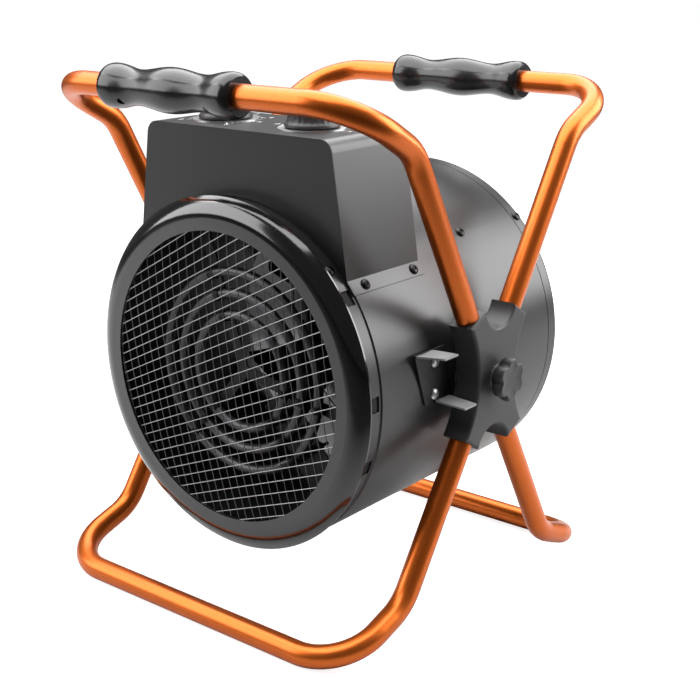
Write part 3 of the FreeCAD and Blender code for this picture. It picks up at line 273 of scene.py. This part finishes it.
def finishes(sizes):
    """Every finish, by material slot, and by node where a node differs from its slot."""
    # The plated parts deep inside the drum are made near black: painted shade, as the inside of the drum lies in
    # shadow.
    inner_shade_steel = heated_steel("sooted_steel", (0.014, 0.0135, 0.013), (0.024, 0.024, 0.026))
    stop_finish = stop_paint("tilt_stop_paint")
    return {
        "frame_paint": metallic_paint("copper_paint", sizes.frame_colour),
        "hub_plastic": moulded("grained_plastic", sizes.plastic_colour, 0.5, 1500.0, 0.25),
        "grip_plastic": moulded("polished_plastic", (0.01, 0.01, 0.011), 0.2, 260.0, 0.04),
        "drum_paint": painted("satin_black", sizes.drum_colour, 0.33, bump=0.04),
        "plate_paint": painted("matt_black", (0.009, 0.009, 0.01), 0.38, 1800.0, bump=0.1),
        "bezel_paint": painted("gloss_black", (0.005, 0.005, 0.006), 0.13, 240.0, coat=0.6,
                               bump=0.05),
        "guard_steel": bare_metal("guard_wire", (0.42, 0.42, 0.43), 0.36),
        # The rear wires are the same steel as the front wires, made darker: painted shade behind the front layer.
        "guard_upright": bare_metal("guard_wire_behind", (0.2, 0.2, 0.21), 0.4),
        "element_steel": heated_steel("element_sheath", (0.075, 0.072, 0.07), (0.11, 0.112, 0.12)),
        "bright_steel": bare_metal("zinc_plate", (0.62, 0.62, 0.62), 0.36),
        # The fan's near-black aluminium is painted shade: it lies deep inside the drum.
        "fan_aluminium": bare_metal("rolled_aluminium", (0.05, 0.05, 0.052), 0.5),
        "motor_paint": painted("motor_black", (0.03, 0.03, 0.03), 0.5),
        "boss_alloy": bare_metal("cast_alloy", (0.5, 0.5, 0.51), 0.48, (300.0, 300.0, 300.0)),
        "knob_plastic": moulded("knob_plastic", (0.028, 0.028, 0.03), 0.42, 1200.0, 0.15),
        "dial_aluminium": bare_metal("dial_plate", (0.75, 0.75, 0.75), 0.3),
        "black_screw": painted("black_oxide", (0.012, 0.012, 0.013), 0.26, metallic=0.5),
        "switch_plastic": moulded("switch_plastic", (0.04, 0.037, 0.034), 0.5, 900.0, 0.15),
        "dial_ink": painted("dial_ink", (0.78, 0.78, 0.77), 0.45, spread=0.04),
        # Parts deep inside the drum: near-black painted shade.
        "inner_duct": inner_shade_steel,
        "element_support": inner_shade_steel,
        "element_clips": inner_shade_steel,
        "terminal_plate": inner_shade_steel,
        "motor_bracket": inner_shade_steel,
        # The collar behind the band's slots is near black: painted shadow, so that the slots look open and dark.
        "bezel_collar": moulded("deep_black", (0.003, 0.003, 0.003), 0.85, 900.0, 0.1),
        "thermal_cutout": inner_shade_steel,
        "motor_shaft": inner_shade_steel,
        "fan_nut": inner_shade_steel,
        "right_tilt_stop": stop_finish,
        "left_tilt_stop": stop_finish,
    }


FINISHES = {}


def dress(piece, material, body, slot, *stands_for):
    """Finishes a new piece and fixes it to its body."""
    piece.data.materials.clear()
    piece.data.materials.append(material)
    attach(piece, body)
    if stands_for:
        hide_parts(*stands_for)
    return piece


def link(name, mesh):
    piece = bpy.data.objects.new(name, mesh)
    bpy.context.scene.collection.objects.link(piece)
    return piece


def mesh_from(name, build):
    """A mesh object that a function fills through bmesh."""
    mesh = bpy.data.meshes.new(name)
    work = bmesh.new()
    build(work)
    bmesh.ops.recalc_face_normals(work, faces=work.faces)
    work.to_mesh(mesh)
    work.free()
    return link(name, mesh)


def plain_mesh(piece, name):
    """The evaluated result of a piece's modifiers, as a new plain piece."""
    graph = bpy.context.evaluated_depsgraph_get()
    mesh = bpy.data.meshes.new_from_object(piece.evaluated_get(graph))
    mesh.name = name
    bpy.data.objects.remove(piece)
    return link(name, mesh)


def smooth(piece, angle=35.0):
    """Smooth shading with sharp edges kept above an angle."""
    mesh = piece.data
    mesh.shade_smooth()
    mesh.set_sharp_from_angle(angle=math.radians(angle))
    return piece


# ------------------------------------------------------------------ shapes

def lathe(work, rings, steps, place, lobes=None):
    """Turns a profile of (radius, height, share) in mm round Z.

    lobes(angle, share) gives the part of the radius that is left at an angle."""
    rows = []
    for radius, height, *share in rings:
        count = steps if radius else 1
        row = []
        for index in range(count):
            angle = math.tau * index / steps
            reach = radius * lobes(angle, share[0] if share else 0.0) if lobes else radius
            row.append(work.verts.new(place @ Vector((
                reach * math.cos(angle) * MM, reach * math.sin(angle) * MM, height * MM))))
        rows.append(row)
    for low, high in zip(rows, rows[1:]):
        for index in range(steps):
            after = (index + 1) % steps
            corners = [low[index % len(low)], low[after % len(low)],
                       high[after % len(high)], high[index % len(high)]]
            work.faces.new(list(dict.fromkeys(corners)))


def control_place(name, height):
    """A control's place on its joint's line, at a height in mm above the drum's axis."""
    foot = DRUM.inverted() @ Vector(JOINTS[name + "_turn"]["pos_m"])
    return DRUM @ Matrix.Translation((foot.x, foot.y, height * MM))


def block(work, low, high, place):
    """A box between two corners."""
    made = bmesh.ops.create_cube(work, size=1.0)["verts"]
    size = Vector(high) - Vector(low)
    middle = (Vector(high) + Vector(low)) / 2
    for vert in made:
        vert.co = place @ (Vector([part * whole for part, whole in zip(vert.co, size)]) + middle)


def on_circle(radius, degrees, along):
    """A point in the drum's frame, by radius, angle from +X to +Z and place along the axis."""
    angle = math.radians(degrees)
    return Vector((radius * math.cos(angle), along, radius * math.sin(angle)))


class Nodes(Tree):
    """A Geometry Nodes tree with named inputs."""

    def __init__(self, name, inputs):
        super().__init__(bpy.data.node_groups.new(name, "GeometryNodeTree"))
        self.sockets = {}
        self.tree.interface.new_socket("Geometry", in_out="INPUT", socket_type="NodeSocketGeometry")
        for label, kind in inputs.items():
            socket = self.tree.interface.new_socket(label, in_out="INPUT", socket_type=kind)
            self.sockets[label] = socket.identifier
        self.tree.interface.new_socket("Geometry", in_out="OUTPUT",
                                       socket_type="NodeSocketGeometry")
        self.entry = self.tree.nodes.new("NodeGroupInput")

    def given(self, label):
        return Value(self.tree, self.entry.outputs[label])

    def vector(self, x=0.0, y=0.0, z=0.0):
        return self.add("ShaderNodeCombineXYZ", {}, {"X": x, "Y": y, "Z": z})

    def finish(self, geometry):
        """Realises the instances, sets the material and closes the tree."""
        real = self.add("GeometryNodeRealizeInstances", {}, {"Geometry": geometry})
        last = self.add("GeometryNodeSetMaterial", {}, {
            "Geometry": real, "Material": self.given("Material")})
        exit_node = self.tree.nodes.new("NodeGroupOutput")
        self.tree.links.new(last.socket, exit_node.inputs[0])

    def grow(self, start, name, settings):
        """The plain mesh that the tree grows from a start mesh."""
        seed = link(name + "_start", start)
        modifier = seed.modifiers.new("grow", "NODES")
        modifier.node_group = self.tree
        for label, value in settings.items():
            modifier[self.sockets[label]] = value
        return plain_mesh(seed, name)


# ------------------------------------------------------------------ settings

def length_setting(name, description, default):
    return bpy.props.FloatProperty(name=name, description=description, default=default,
                                   min=0.0, unit="LENGTH", precision=5)


def place_setting(name, description, default):
    return bpy.props.FloatProperty(name=name, description=description, default=default,
                                   unit="LENGTH", precision=5)


def angle_setting(name, description, default):
    return bpy.props.FloatProperty(name=name, description=description, subtype="ANGLE",
                                   default=math.radians(default))


def count_setting(name, description, default):
    return bpy.props.IntProperty(name=name, description=description, default=default, min=1)


def colour_setting(name, description, default):
    return bpy.props.FloatVectorProperty(name=name, description=description, default=default,
                                         size=3, subtype="COLOR", min=0.0, max=1.0)


class HeaterFinishSettings(bpy.types.PropertyGroup):
    """Colours of the painted and moulded surfaces."""

    frame_colour: colour_setting("Frame", "Metallic paint of the stand tubes", (0.57, 0.117, 0.012))
    drum_colour: colour_setting("Drum", "Satin paint of the drum and the control box", (0.02, 0.02, 0.021))
    plastic_colour: colour_setting("Plastic", "Grained plastic of the clamp hubs", (0.03, 0.03, 0.031))


class HeaterGuardSettings(bpy.types.PropertyGroup):
    """The wire guard across the outlet."""

    wire_radius: length_setting("Wire radius", "Radius of a guard wire", 0.45 * MM)
    reach: length_setting("Reach", "Radius at which the wires end", 126.8 * MM)
    cross_count: count_setting("Cross wires", "Number of front wires", 31)
    cross_pitch: length_setting("Cross pitch", "Spacing of the front wires", 8.8 * MM)
    cross_place: place_setting("Cross place", "Front wires' place along the drum's axis", -141.45 * MM)
    cross_lean: angle_setting("Cross lean", "Lean of the middle front wire", 24.5)
    cross_fan: angle_setting("Cross fan", "Change of the lean from the middle wire to the fan radius", 4.5)
    fan_radius: length_setting("Fan radius", "Offset at which the lean has changed by the fan", 121 * MM)
    upright_count: count_setting("Upright wires", "Number of rear wires", 33)
    upright_pitch: length_setting("Upright pitch", "Spacing of the rear wires", 9.35 * MM)
    upright_place: place_setting("Upright place", "Rear wires' place along the drum's axis", -140.15 * MM)
    upright_slope: bpy.props.FloatProperty(
        name="Upright slope", description="Sideways rise of a rear wire", default=0.1745)
    upright_bow: bpy.props.FloatProperty(
        name="Upright bow", description="Curvature of the rear wires, per metre", default=-1.442)


class HeaterScrewSettings(bpy.types.PropertyGroup):
    """The pan head screws."""

    drum_head: length_setting("Drum screws", "Radius of the head of a drum screw", 4.4 * MM)
    stop_head: length_setting("Stop screws", "Radius of the head of a tilt stop screw", 4.7 * MM)


class HeaterScaleSettings(bpy.types.PropertyGroup):
    """The ticks and numbers printed round the two dials."""

    digit_size: length_setting("Digit size", "Size of the type", 7.5 * MM)
    digit_radius: length_setting("Digit radius", "Distance of the numbers from the knob's axis", 37.0 * MM)
    tick_radius: length_setting("Tick radius", "Distance of the ticks' inner ends", 28.6 * MM)
    long_tick: length_setting("Long tick", "Length of a tick at a number", 4.0 * MM)
    short_tick: length_setting("Short tick", "Length of a tick between numbers", 2.2 * MM)


class HeaterStageSettings(bpy.types.PropertyGroup):
    """Floor, lights and camera."""

    azimuth: angle_setting("Azimuth", "Camera angle round the heater", 38.79)
    elevation: angle_setting("Elevation", "Camera angle above level", 15.09)
    roll: angle_setting("Roll", "Camera turn about its own axis", 1.44)
    distance: length_setting("Distance", "Camera distance from its aim", 1172.3 * MM)
    lens: bpy.props.FloatProperty(name="Lens", description="Focal length in millimetres",
                                  default=68.45, min=1.0)
    aim: bpy.props.FloatVectorProperty(name="Aim", description="Point in the middle of the view",
                                       default=(17.9 * MM, 0.0, 199.3 * MM), size=3,
                                       subtype="TRANSLATION", unit="LENGTH")
    floor_size: length_setting("Floor", "Length of one side of the floor", 60.0)


# ------------------------------------------------------------------ operators

class HEATER_OT_stage(bpy.types.Operator):
    """Makes the floor, the studio lights, the world and the camera"""

    bl_idname = "heater.stage"
    bl_label = "Stage"

    # Each softbox's place and size in metres, and its power in watts.
    SOFTBOXES = {
        "overhead_softbox": ((-0.25, 0.1, 1.5), (2.4, 2.0), 76.0),
        "back_softbox": ((1.5, 1.75, 1.32), (1.9, 1.8), 78.0),
        "left_softbox": ((-1.55, -1.5, 1.1), (1.5, 1.5), 34.0),
    }
    # The level direction that leads behind the heater; how far in front, in metres, the floor
    # starts to turn from its front shade to its back shade, and the change in one metre.
    BEHIND = (-0.63, 0.78)
    SHADE_START = 0.5
    SHADE_RATE = 3.0
    SHADES = (grey(0.05), grey(0.55))
    # The floor's glow at the heater and far from it, the change in one metre, and the part of the
    # change that is held back, so that it starts half a metre out.
    GLOWS = (grey(0.84), grey(1.0))
    GLOW_RATE = 0.4
    GLOW_START = 0.2
    # In millimetres.
    SENSOR_WIDTH = 36.0

    def execute(self, context):
        settings = context.scene.heater_stage
        self.floor(settings.floor_size)
        self.camera(context, settings)
        for name, (spot, size, power) in self.SOFTBOXES.items():
            self.softbox(name, Vector(spot), size, power)
        self.world(context)
        return {"FINISHED"}

    def floor(self, size):
        """A floor that glows near white for camera rays.

        For all other rays it has no glow, and is dark in front of the heater and pale behind it,
        so that little light comes back up onto the heater's front."""
        half = size / 2

        def build(work):
            corners = [work.verts.new((x * half, y * half, 0.0))
                       for x, y in ((-1, -1), (1, -1), (1, 1), (-1, 1))]
            work.faces.new(corners)
        floor = mesh_from("floor", build)
        finish = Finish("floor_white", Roughness=0.9, Specular_IOR_Level=0.1, Emission_Strength=1.0)
        grain = finish.noise(3.0, 2.0) * 0.1
        across, along, _ = finish.axes(finish.place)
        behind = across * self.BEHIND[0] + along * self.BEHIND[1] + self.SHADE_START + grain
        behind = behind.math("MULTIPLY", self.SHADE_RATE, clamp=True)
        distance = finish.add("ShaderNodeVectorMath", {"operation": "LENGTH"}, {
            0: finish.place}, output="Value")
        far = (distance * self.GLOW_RATE - self.GLOW_START).math("MULTIPLY", 1.0, clamp=True)
        glow = finish.between(far, *self.GLOWS)
        seen = finish.add("ShaderNodeLightPath", output="Is Camera Ray")
        finish.set(
            Base_Color=finish.between(behind, *self.SHADES),
            Emission_Color=finish.between(seen, grey(0.0), glow))
        floor.data.materials.append(finish.material)

    def softbox(self, name, place, size, power):
        data = bpy.data.lights.new(name, "AREA")
        data.shape = "RECTANGLE"
        data.size, data.size_y = size
        data.energy = power
        lamp = bpy.data.objects.new(name, data)
        lamp.location = place
        lamp.rotation_euler = (PIVOT - place).to_track_quat("-Z", "Y").to_euler()
        bpy.context.scene.collection.objects.link(lamp)

    def world(self, context):
        """A white backdrop that lights the heater with a tenth of the strength that it shows."""
        world = bpy.data.worlds.new("studio")
        world.use_nodes = True
        tree = Tree(world.node_tree)
        background = world.node_tree.nodes["Background"]
        seen = tree.add("ShaderNodeLightPath", output="Is Camera Ray")
        connect(world.node_tree, seen * 0.9 + 0.1, background.inputs["Strength"])
        background.inputs["Color"].default_value = grey(1.0)
        context.scene.world = world
        context.scene.view_settings.view_transform = "Standard"

    def camera(self, context, settings):
        turn, rise, roll = settings.azimuth, settings.elevation, settings.roll
        back = Vector((math.sin(turn) * math.cos(rise), -math.cos(turn) * math.cos(rise),
                       math.sin(rise)))
        level = Vector((math.cos(turn), math.sin(turn), 0.0))
        up = back.cross(level)
        right = level * math.cos(roll) + up * math.sin(roll)
        upward = up * math.cos(roll) - level * math.sin(roll)
        data = bpy.data.cameras.new("camera")
        data.lens = settings.lens
        data.sensor_width = self.SENSOR_WIDTH
        camera = bpy.data.objects.new("camera", data)
        pose = Matrix((right, upward, back)).transposed().to_4x4()
        pose.translation = Vector(settings.aim) + back * settings.distance
        camera.matrix_world = pose
        context.scene.collection.objects.link(camera)
        context.scene.camera = camera


class HEATER_OT_finishes(bpy.types.Operator):
    """Gives every sub-part of the frame its finish"""

    bl_idname = "heater.finishes"
    bl_label = "Finishes"

    def execute(self, context):
        FINISHES.update(finishes(context.scene.heater_finish))
        for part in frame["record"]["subparts"]:
            piece = frame["nodes"][part["node"]]
            if not piece.material_slots:
                piece.data.materials.append(None)
            for slot in piece.material_slots:
                slot.material = FINISHES.get(part["node"], FINISHES[part["material_slot"]])
        return {"FINISHED"}


class HEATER_OT_guard(bpy.types.Operator):
    """Makes the two layers of guard wires across the outlet"""

    bl_idname = "heater.guard"
    bl_label = "Guard wires"

    def wires(self):
        """Wires along X, spaced along Z, each leaning by its offset and bowed, cut at the reach."""
        tree = Nodes("guard_wires", {
            "Count": "NodeSocketInt", "Pitch": "NodeSocketFloat", "Lean": "NodeSocketFloat",
            "Fan": "NodeSocketFloat", "Bow": "NodeSocketFloat", "Reach": "NodeSocketFloat",
            "Wire radius": "NodeSocketFloat", "Material": "NodeSocketMaterial"})
        reach, pitch = tree.given("Reach"), tree.given("Pitch")
        first = (tree.given("Count") - 1.0) * pitch * -0.5
        places = tree.add("GeometryNodeMeshLine", {}, {
            "Count": tree.given("Count"), "Start Location": tree.vector(z=first),
            "Offset": tree.vector(z=pitch)})
        wire = tree.add("GeometryNodeMeshLine", {}, {
            "Count": 61, "Start Location": tree.vector(x=reach * -1.5),
            "Offset": tree.vector(x=reach * 0.05)})
        rows = tree.add("GeometryNodeInstanceOnPoints", {}, {"Points": places, "Instance": wire})
        real = tree.add("GeometryNodeRealizeInstances", {}, {"Geometry": rows})
        along, _, offset = tree.axes(tree.add("GeometryNodeInputPosition"))
        slope = (offset * tree.given("Fan") + tree.given("Lean")).math("TANGENT")
        height = offset + along * slope + along * along * tree.given("Bow") * 0.5
        bent = tree.add("GeometryNodeSetPosition", {}, {
            "Geometry": real, "Position": tree.vector(along, 0.0, height)})
        distance = tree.add("ShaderNodeVectorMath", {"operation": "LENGTH"}, {
            0: tree.add("GeometryNodeInputPosition")}, output="Value")
        kept = tree.add("GeometryNodeDeleteGeometry", {"domain": "POINT"}, {
            "Geometry": bent, "Selection": distance > reach})
        curve = tree.add("GeometryNodeMeshToCurve", {}, {"Mesh": kept})
        ring = tree.add("GeometryNodeCurvePrimitiveCircle", {}, {
            "Resolution": 6, "Radius": tree.given("Wire radius")})
        tube = tree.add("GeometryNodeCurveToMesh", {}, {"Curve": curve, "Profile Curve": ring})
        tree.finish(tree.add("GeometryNodeSetShadeSmooth", {}, {"Geometry": tube}))
        return tree

    def execute(self, context):
        sizes = context.scene.heater_guard
        tree = self.wires()
        quarter = Matrix.Rotation(math.radians(-90), 4, "Y")
        layers = {
            "cross": (sizes.cross_place, Matrix.Identity(4), {
                "Count": sizes.cross_count, "Pitch": sizes.cross_pitch / math.cos(sizes.cross_lean),
                "Lean": sizes.cross_lean, "Fan": sizes.cross_fan / sizes.fan_radius, "Bow": 0.0}),
            "upright": (sizes.upright_place, quarter, {
                "Count": sizes.upright_count, "Pitch": sizes.upright_pitch,
                "Lean": math.atan(sizes.upright_slope), "Fan": 0.0, "Bow": sizes.upright_bow})}
        wires = {}
        for name, (along, turn, run) in layers.items():
            wires[name] = tree.grow(bpy.data.meshes.new("start"), "guard_" + name, {
                **run, "Reach": sizes.reach, "Wire radius": sizes.wire_radius,
                "Material": FINISHES["guard_steel"]})
            wires[name].data.transform(DRUM @ Matrix.Translation((0, along, 0)) @ turn)
        dress(wires["cross"], FINISHES["guard_steel"], "drum", "guard_steel", "front_mesh_guard")
        dress(wires["upright"], FINISHES["guard_upright"], "drum", "guard_steel")
        return {"FINISHED"}


class HEATER_OT_screws(bpy.types.Operator):
    """Makes the pan head screws with cross recesses"""

    bl_idname = "heater.screws"
    bl_label = "Screws"

    # Seats in mm in the drum's frame. Rings of four screws: radius and place along the axis.
    RINGS = ((144.3, -127.0), (145.5, 42.7), (145.2, 130.0))
    RING_ANGLES = (45, 135, 225, 315)
    # The flange of the control box: radius, angles and places along the axis.
    FLANGE_RADIUS = 146.5
    FLANGE_ANGLES = (37.35, 142.65)
    FLANGE_PLACES = (-102.0, -41.0)
    # The front of the motor: radius, angles and place along the axis.
    MOTOR_RADIUS = 26
    MOTOR_ANGLES = (90, 180, 270, 360)
    MOTOR_PLACE = 46.0
    # The tilt stops: distance from the middle, place along the axis and heights.
    STOP_SEAT = 147.2
    STOP_PLACE = -53.0
    STOP_HEIGHTS = (21.0, -5.8)

    def head(self, radius):
        """One head facing +Z, its seat at the origin and its radius in mm."""
        def outline(work):
            lathe(work, [(0, -1.0), (1.9, -1.0), (1.9, 0.0), (radius, 0.0), (radius, 0.5),
                         (radius * 0.95, 1.05), (radius * 0.8, 1.6), (radius * 0.55, 2.05),
                         (radius * 0.25, 2.3), (0, 2.36)], 24, Matrix.Identity(4))

        def cross(work):
            for turn in (0, 90):
                place = Matrix.Rotation(math.radians(turn), 4, "Z")
                block(work, (-0.56 * radius * MM, -0.13 * radius * MM, 0.9 * MM),
                      (0.56 * radius * MM, 0.13 * radius * MM, 4 * MM), place)
        head = mesh_from("screw_head", outline)
        cutter = mesh_from("screw_cross", cross)
        cut = head.modifiers.new("recess", "BOOLEAN")
        cut.operation = "DIFFERENCE"
        cut.object = cutter
        cut.solver = "EXACT"
        cut.use_self = True
        head = plain_mesh(head, "screw_head")
        bpy.data.objects.remove(cutter)
        return smooth(head, 40)

    def spread(self):
        tree = Nodes("screws", {
            "Head": "NodeSocketObject", "Seed": "NodeSocketInt", "Material": "NodeSocketMaterial"})
        facing = tree.add("GeometryNodeInputNamedAttribute", {"data_type": "FLOAT_VECTOR"}, {
            "Name": "facing"})
        turned = tree.add("FunctionNodeAlignRotationToVector", {"axis": "Z"}, {"Vector": facing})
        spin = tree.add("FunctionNodeRandomValue", {"data_type": "FLOAT"}, {
            "Seed": tree.given("Seed")}, output=1)
        turned = tree.add("FunctionNodeRotateRotation", {"rotation_space": "LOCAL"}, {
            "Rotation": turned, "Rotate By": tree.vector(z=spin * math.pi)})
        head = tree.add("GeometryNodeObjectInfo", {}, {
            "Object": tree.given("Head")}, output="Geometry")
        tree.finish(tree.add("GeometryNodeInstanceOnPoints", {}, {
            "Points": tree.given("Geometry"), "Instance": head, "Rotation": turned}))
        return tree

    def places(self, spots):
        """Points with the direction that each screw faces, in the world."""
        mesh = bpy.data.meshes.new("screw_places")
        mesh.from_pydata([DRUM @ (spot * MM) for spot, _ in spots], [], [])
        facing = mesh.attributes.new("facing", "FLOAT_VECTOR", "POINT")
        turn = DRUM.to_3x3()
        for item, (_, direction) in zip(facing.data, spots):
            item.vector = turn @ direction
        return mesh

    def execute(self, context):
        sizes = context.scene.heater_screws
        spots = [(on_circle(radius, turn, along), on_circle(1, turn, 0))
                 for radius, along in self.RINGS for turn in self.RING_ANGLES]
        spots += [(on_circle(self.FLANGE_RADIUS, turn, along), on_circle(1, turn, 0))
                  for turn in self.FLANGE_ANGLES for along in self.FLANGE_PLACES]
        spots += [(on_circle(self.MOTOR_RADIUS, turn, self.MOTOR_PLACE), Vector((0, -1, 0)))
                  for turn in self.MOTOR_ANGLES]
        stops = [(Vector((side * self.STOP_SEAT, self.STOP_PLACE, height)), Vector((side, 0, 0)))
                 for side in (1, -1) for height in self.STOP_HEIGHTS]
        tree = self.spread()
        for name, radius, places, slot, node in (
                ("black_screws", sizes.drum_head, spots, "black_screw", "drum_screws"),
                ("zinc_screws", sizes.stop_head, stops, "bright_steel", "stop_screws")):
            head = self.head(radius / MM)
            piece = tree.grow(self.places(places), name, {
                "Head": head, "Seed": 7, "Material": FINISHES[slot]})
            bpy.data.objects.remove(head)
            dress(piece, FINISHES[slot], "drum", slot, node)
        return {"FINISHED"}


class HEATER_OT_control_knobs(bpy.types.Operator):
    """Makes the two control knobs with fluted skirts and pointers"""

    bl_idname = "heater.control_knobs"
    bl_label = "Control knobs"

    FLUTES = 24
    FLUTE_DEPTH = 0.022
    # Radius and height in mm above the drum's axis, and how deep the flutes are there.
    PROFILE = (
        (3.1, 199.4), (21.6, 199.4), (22.3, 199.9), (22.4, 200.8), (22.0, 202.0),
        (21.0, 203.0, 0.3), (20.3, 204.2, 1), (19.7, 207.5, 1), (19.3, 211.0, 1),
        (19.0, 213.2, 1), (18.5, 214.3, 0.6), (17.6, 214.9), (16.6, 215.1), (12.0, 214.6),
        (0, 214.4))
    # Two corners in mm of the rib across the top, and of the white line on it.
    RIB = ((-1.6, -17.6, 213.5), (1.6, 17.6, 215.1))
    LINE = ((-0.6, -17.0, 214.4), (0.6, -5.0, 215.18))

    def execute(self, context):
        def flutes(turn, share):
            return 1 - self.FLUTE_DEPTH * share * (0.5 + 0.5 * math.cos(self.FLUTES * turn))

        for name in CONTROLS:
            spot = control_place(name, 0.0)

            def body(work):
                lathe(work, self.PROFILE, 8 * self.FLUTES, spot, flutes)
                block(work, *(Vector(corner) * MM for corner in self.RIB), spot)

            def pointer(work):
                block(work, *(Vector(corner) * MM for corner in self.LINE), spot)
            dress(smooth(mesh_from(name + "_grip", body), 30), FINISHES["knob_plastic"],
                  name + "_control", "knob_plastic", name + "_knob")
            dress(mesh_from(name + "_pointer", pointer), FINISHES["dial_ink"],
                  name + "_control", "knob_plastic")
        return {"FINISHED"}


class HEATER_OT_scales(bpy.types.Operator):
    """Prints the ticks and numbers round the two dials"""

    bl_idname = "heater.scales"
    bl_label = "Dial scales"

    # Height in mm of the dial plates' top above the drum's axis.
    PLATE_TOP = 198.1
    TICKS_PER_NUMBER = 5
    LONG_TICK_HALF = 0.5 * MM
    SHORT_TICK_HALF = 0.3 * MM
    INK_THICKNESS = 0.05 * MM

    def digit(self, text, size, place):
        """A number as a flat mesh."""
        curve = bpy.data.curves.new("digit", "FONT")
        curve.body = text
        curve.size = size
        curve.align_x = "CENTER"
        curve.align_y = "CENTER"
        piece = plain_mesh(link("digit", curve), "digit")
        mesh = piece.data
        mesh.transform(place)
        bpy.data.objects.remove(piece)
        return mesh

    def execute(self, context):
        sizes = context.scene.heater_scales
        for name, last in CONTROLS.items():
            centre = control_place(name, self.PLATE_TOP)
            low, high = JOINTS[name + "_turn"]["range_deg"]
            steps = last * self.TICKS_PER_NUMBER

            def turned(share):
                """The angle of a mark from the scale's middle, by its share of the scale."""
                return math.radians((high - low) * (0.5 - share))

            def marks(work):
                for index in range(steps + 1):
                    at_number = index % self.TICKS_PER_NUMBER == 0
                    half = self.LONG_TICK_HALF if at_number else self.SHORT_TICK_HALF
                    run = sizes.long_tick if at_number else sizes.short_tick
                    block(work, (-half, sizes.tick_radius, -self.INK_THICKNESS),
                          (half, sizes.tick_radius + run, 0.0),
                          centre @ Matrix.Rotation(turned(index / steps), 4, "Z"))
                for number in range(last + 1):
                    turn = turned(number / last)
                    spot = Vector((-math.sin(turn), math.cos(turn), 0)) * sizes.digit_radius
                    mesh = self.digit(str(number), sizes.digit_size,
                                      centre @ Matrix.Translation(spot))
                    work.from_mesh(mesh)
                    bpy.data.meshes.remove(mesh)
            dress(mesh_from(name + "_scale", marks), FINISHES["dial_ink"], "drum",
                  "dial_aluminium")
        return {"FINISHED"}


class HEATER_OT_clamp_knobs(bpy.types.Operator):
    """Makes the two lobed clamp knobs with their studs"""

    bl_idname = "heater.clamp_knobs"
    bl_label = "Clamp knobs"

    LOBES = 6
    LOBE_DEPTH = 0.21
    VALLEY_POWER = 1.8
    STEPS = 120
    # Radius and distance in mm from the heater's middle, and how deep the valleys are there.
    PROFILE = (
        (0, 140.2), (3.7, 140.2), (4.0, 140.8), (4.0, 173.6), (9.0, 173.6), (11.8, 174.1, 0.3),
        (14.8, 175.6, 0.7), (17.0, 177.4, 1), (18.1, 179.4, 1), (18.4, 181.4, 1),
        (18.4, 183.6, 1), (18.1, 184.9, 1), (17.5, 185.8, 1), (16.6, 186.35, 0.98),
        (15.6, 186.4, 0.95), (14.6, 186.15, 0.9), (11.0, 185.6, 0.5), (6.0, 185.2), (0, 185.1))

    def execute(self, context):
        def lobes(turn, share):
            valley = (0.5 - 0.5 * math.cos(self.LOBES * turn)) ** self.VALLEY_POWER
            return 1 - self.LOBE_DEPTH * share * valley

        for side, hand in (("right", 1), ("left", -1)):
            outward = Matrix.Rotation(math.radians(hand * 90), 4, "Y")

            def body(work):
                lathe(work, self.PROFILE, self.STEPS, Matrix.Translation(PIVOT) @ outward, lobes)
            dress(smooth(mesh_from(side + "_star_knob", body), 40), FINISHES["hub_plastic"],
                  side + "_knob", "hub_plastic", side + "_clamp_knob")
        return {"FINISHED"}


OPERATORS = (HEATER_OT_stage, HEATER_OT_finishes, HEATER_OT_guard, HEATER_OT_screws,
             HEATER_OT_control_knobs, HEATER_OT_scales, HEATER_OT_clamp_knobs)


class HEATER_PT_panel(bpy.types.Panel):
    """Lists the heater's pieces in the order in which they are made"""

    bl_label = "Drum Heater"
    bl_idname = "HEATER_PT_panel"
    bl_space_type = "VIEW_3D"
    bl_region_type = "UI"
    bl_category = "Drum Heater"

    def draw(self, context):
        for operator in OPERATORS:
            self.layout.operator(operator.bl_idname)


SETTINGS = {"heater_finish": HeaterFinishSettings, "heater_guard": HeaterGuardSettings,
            "heater_screws": HeaterScrewSettings, "heater_scales": HeaterScaleSettings,
            "heater_stage": HeaterStageSettings}
CLASSES = (*SETTINGS.values(), *OPERATORS, HEATER_PT_panel)


def register():
    for item in CLASSES:
        bpy.utils.register_class(item)
    for name, group in SETTINGS.items():
        setattr(bpy.types.Scene, name, bpy.props.PointerProperty(type=group))


def unregister():
    for name in SETTINGS:
        delattr(bpy.types.Scene, name)
    for item in reversed(CLASSES):
        bpy.utils.unregister_class(item)


def main():
    register()
    for operator in OPERATORS:
        group, name = operator.bl_idname.split(".")
        getattr(getattr(bpy.ops, group), name)()


if __name__ == "__main__":
    main()
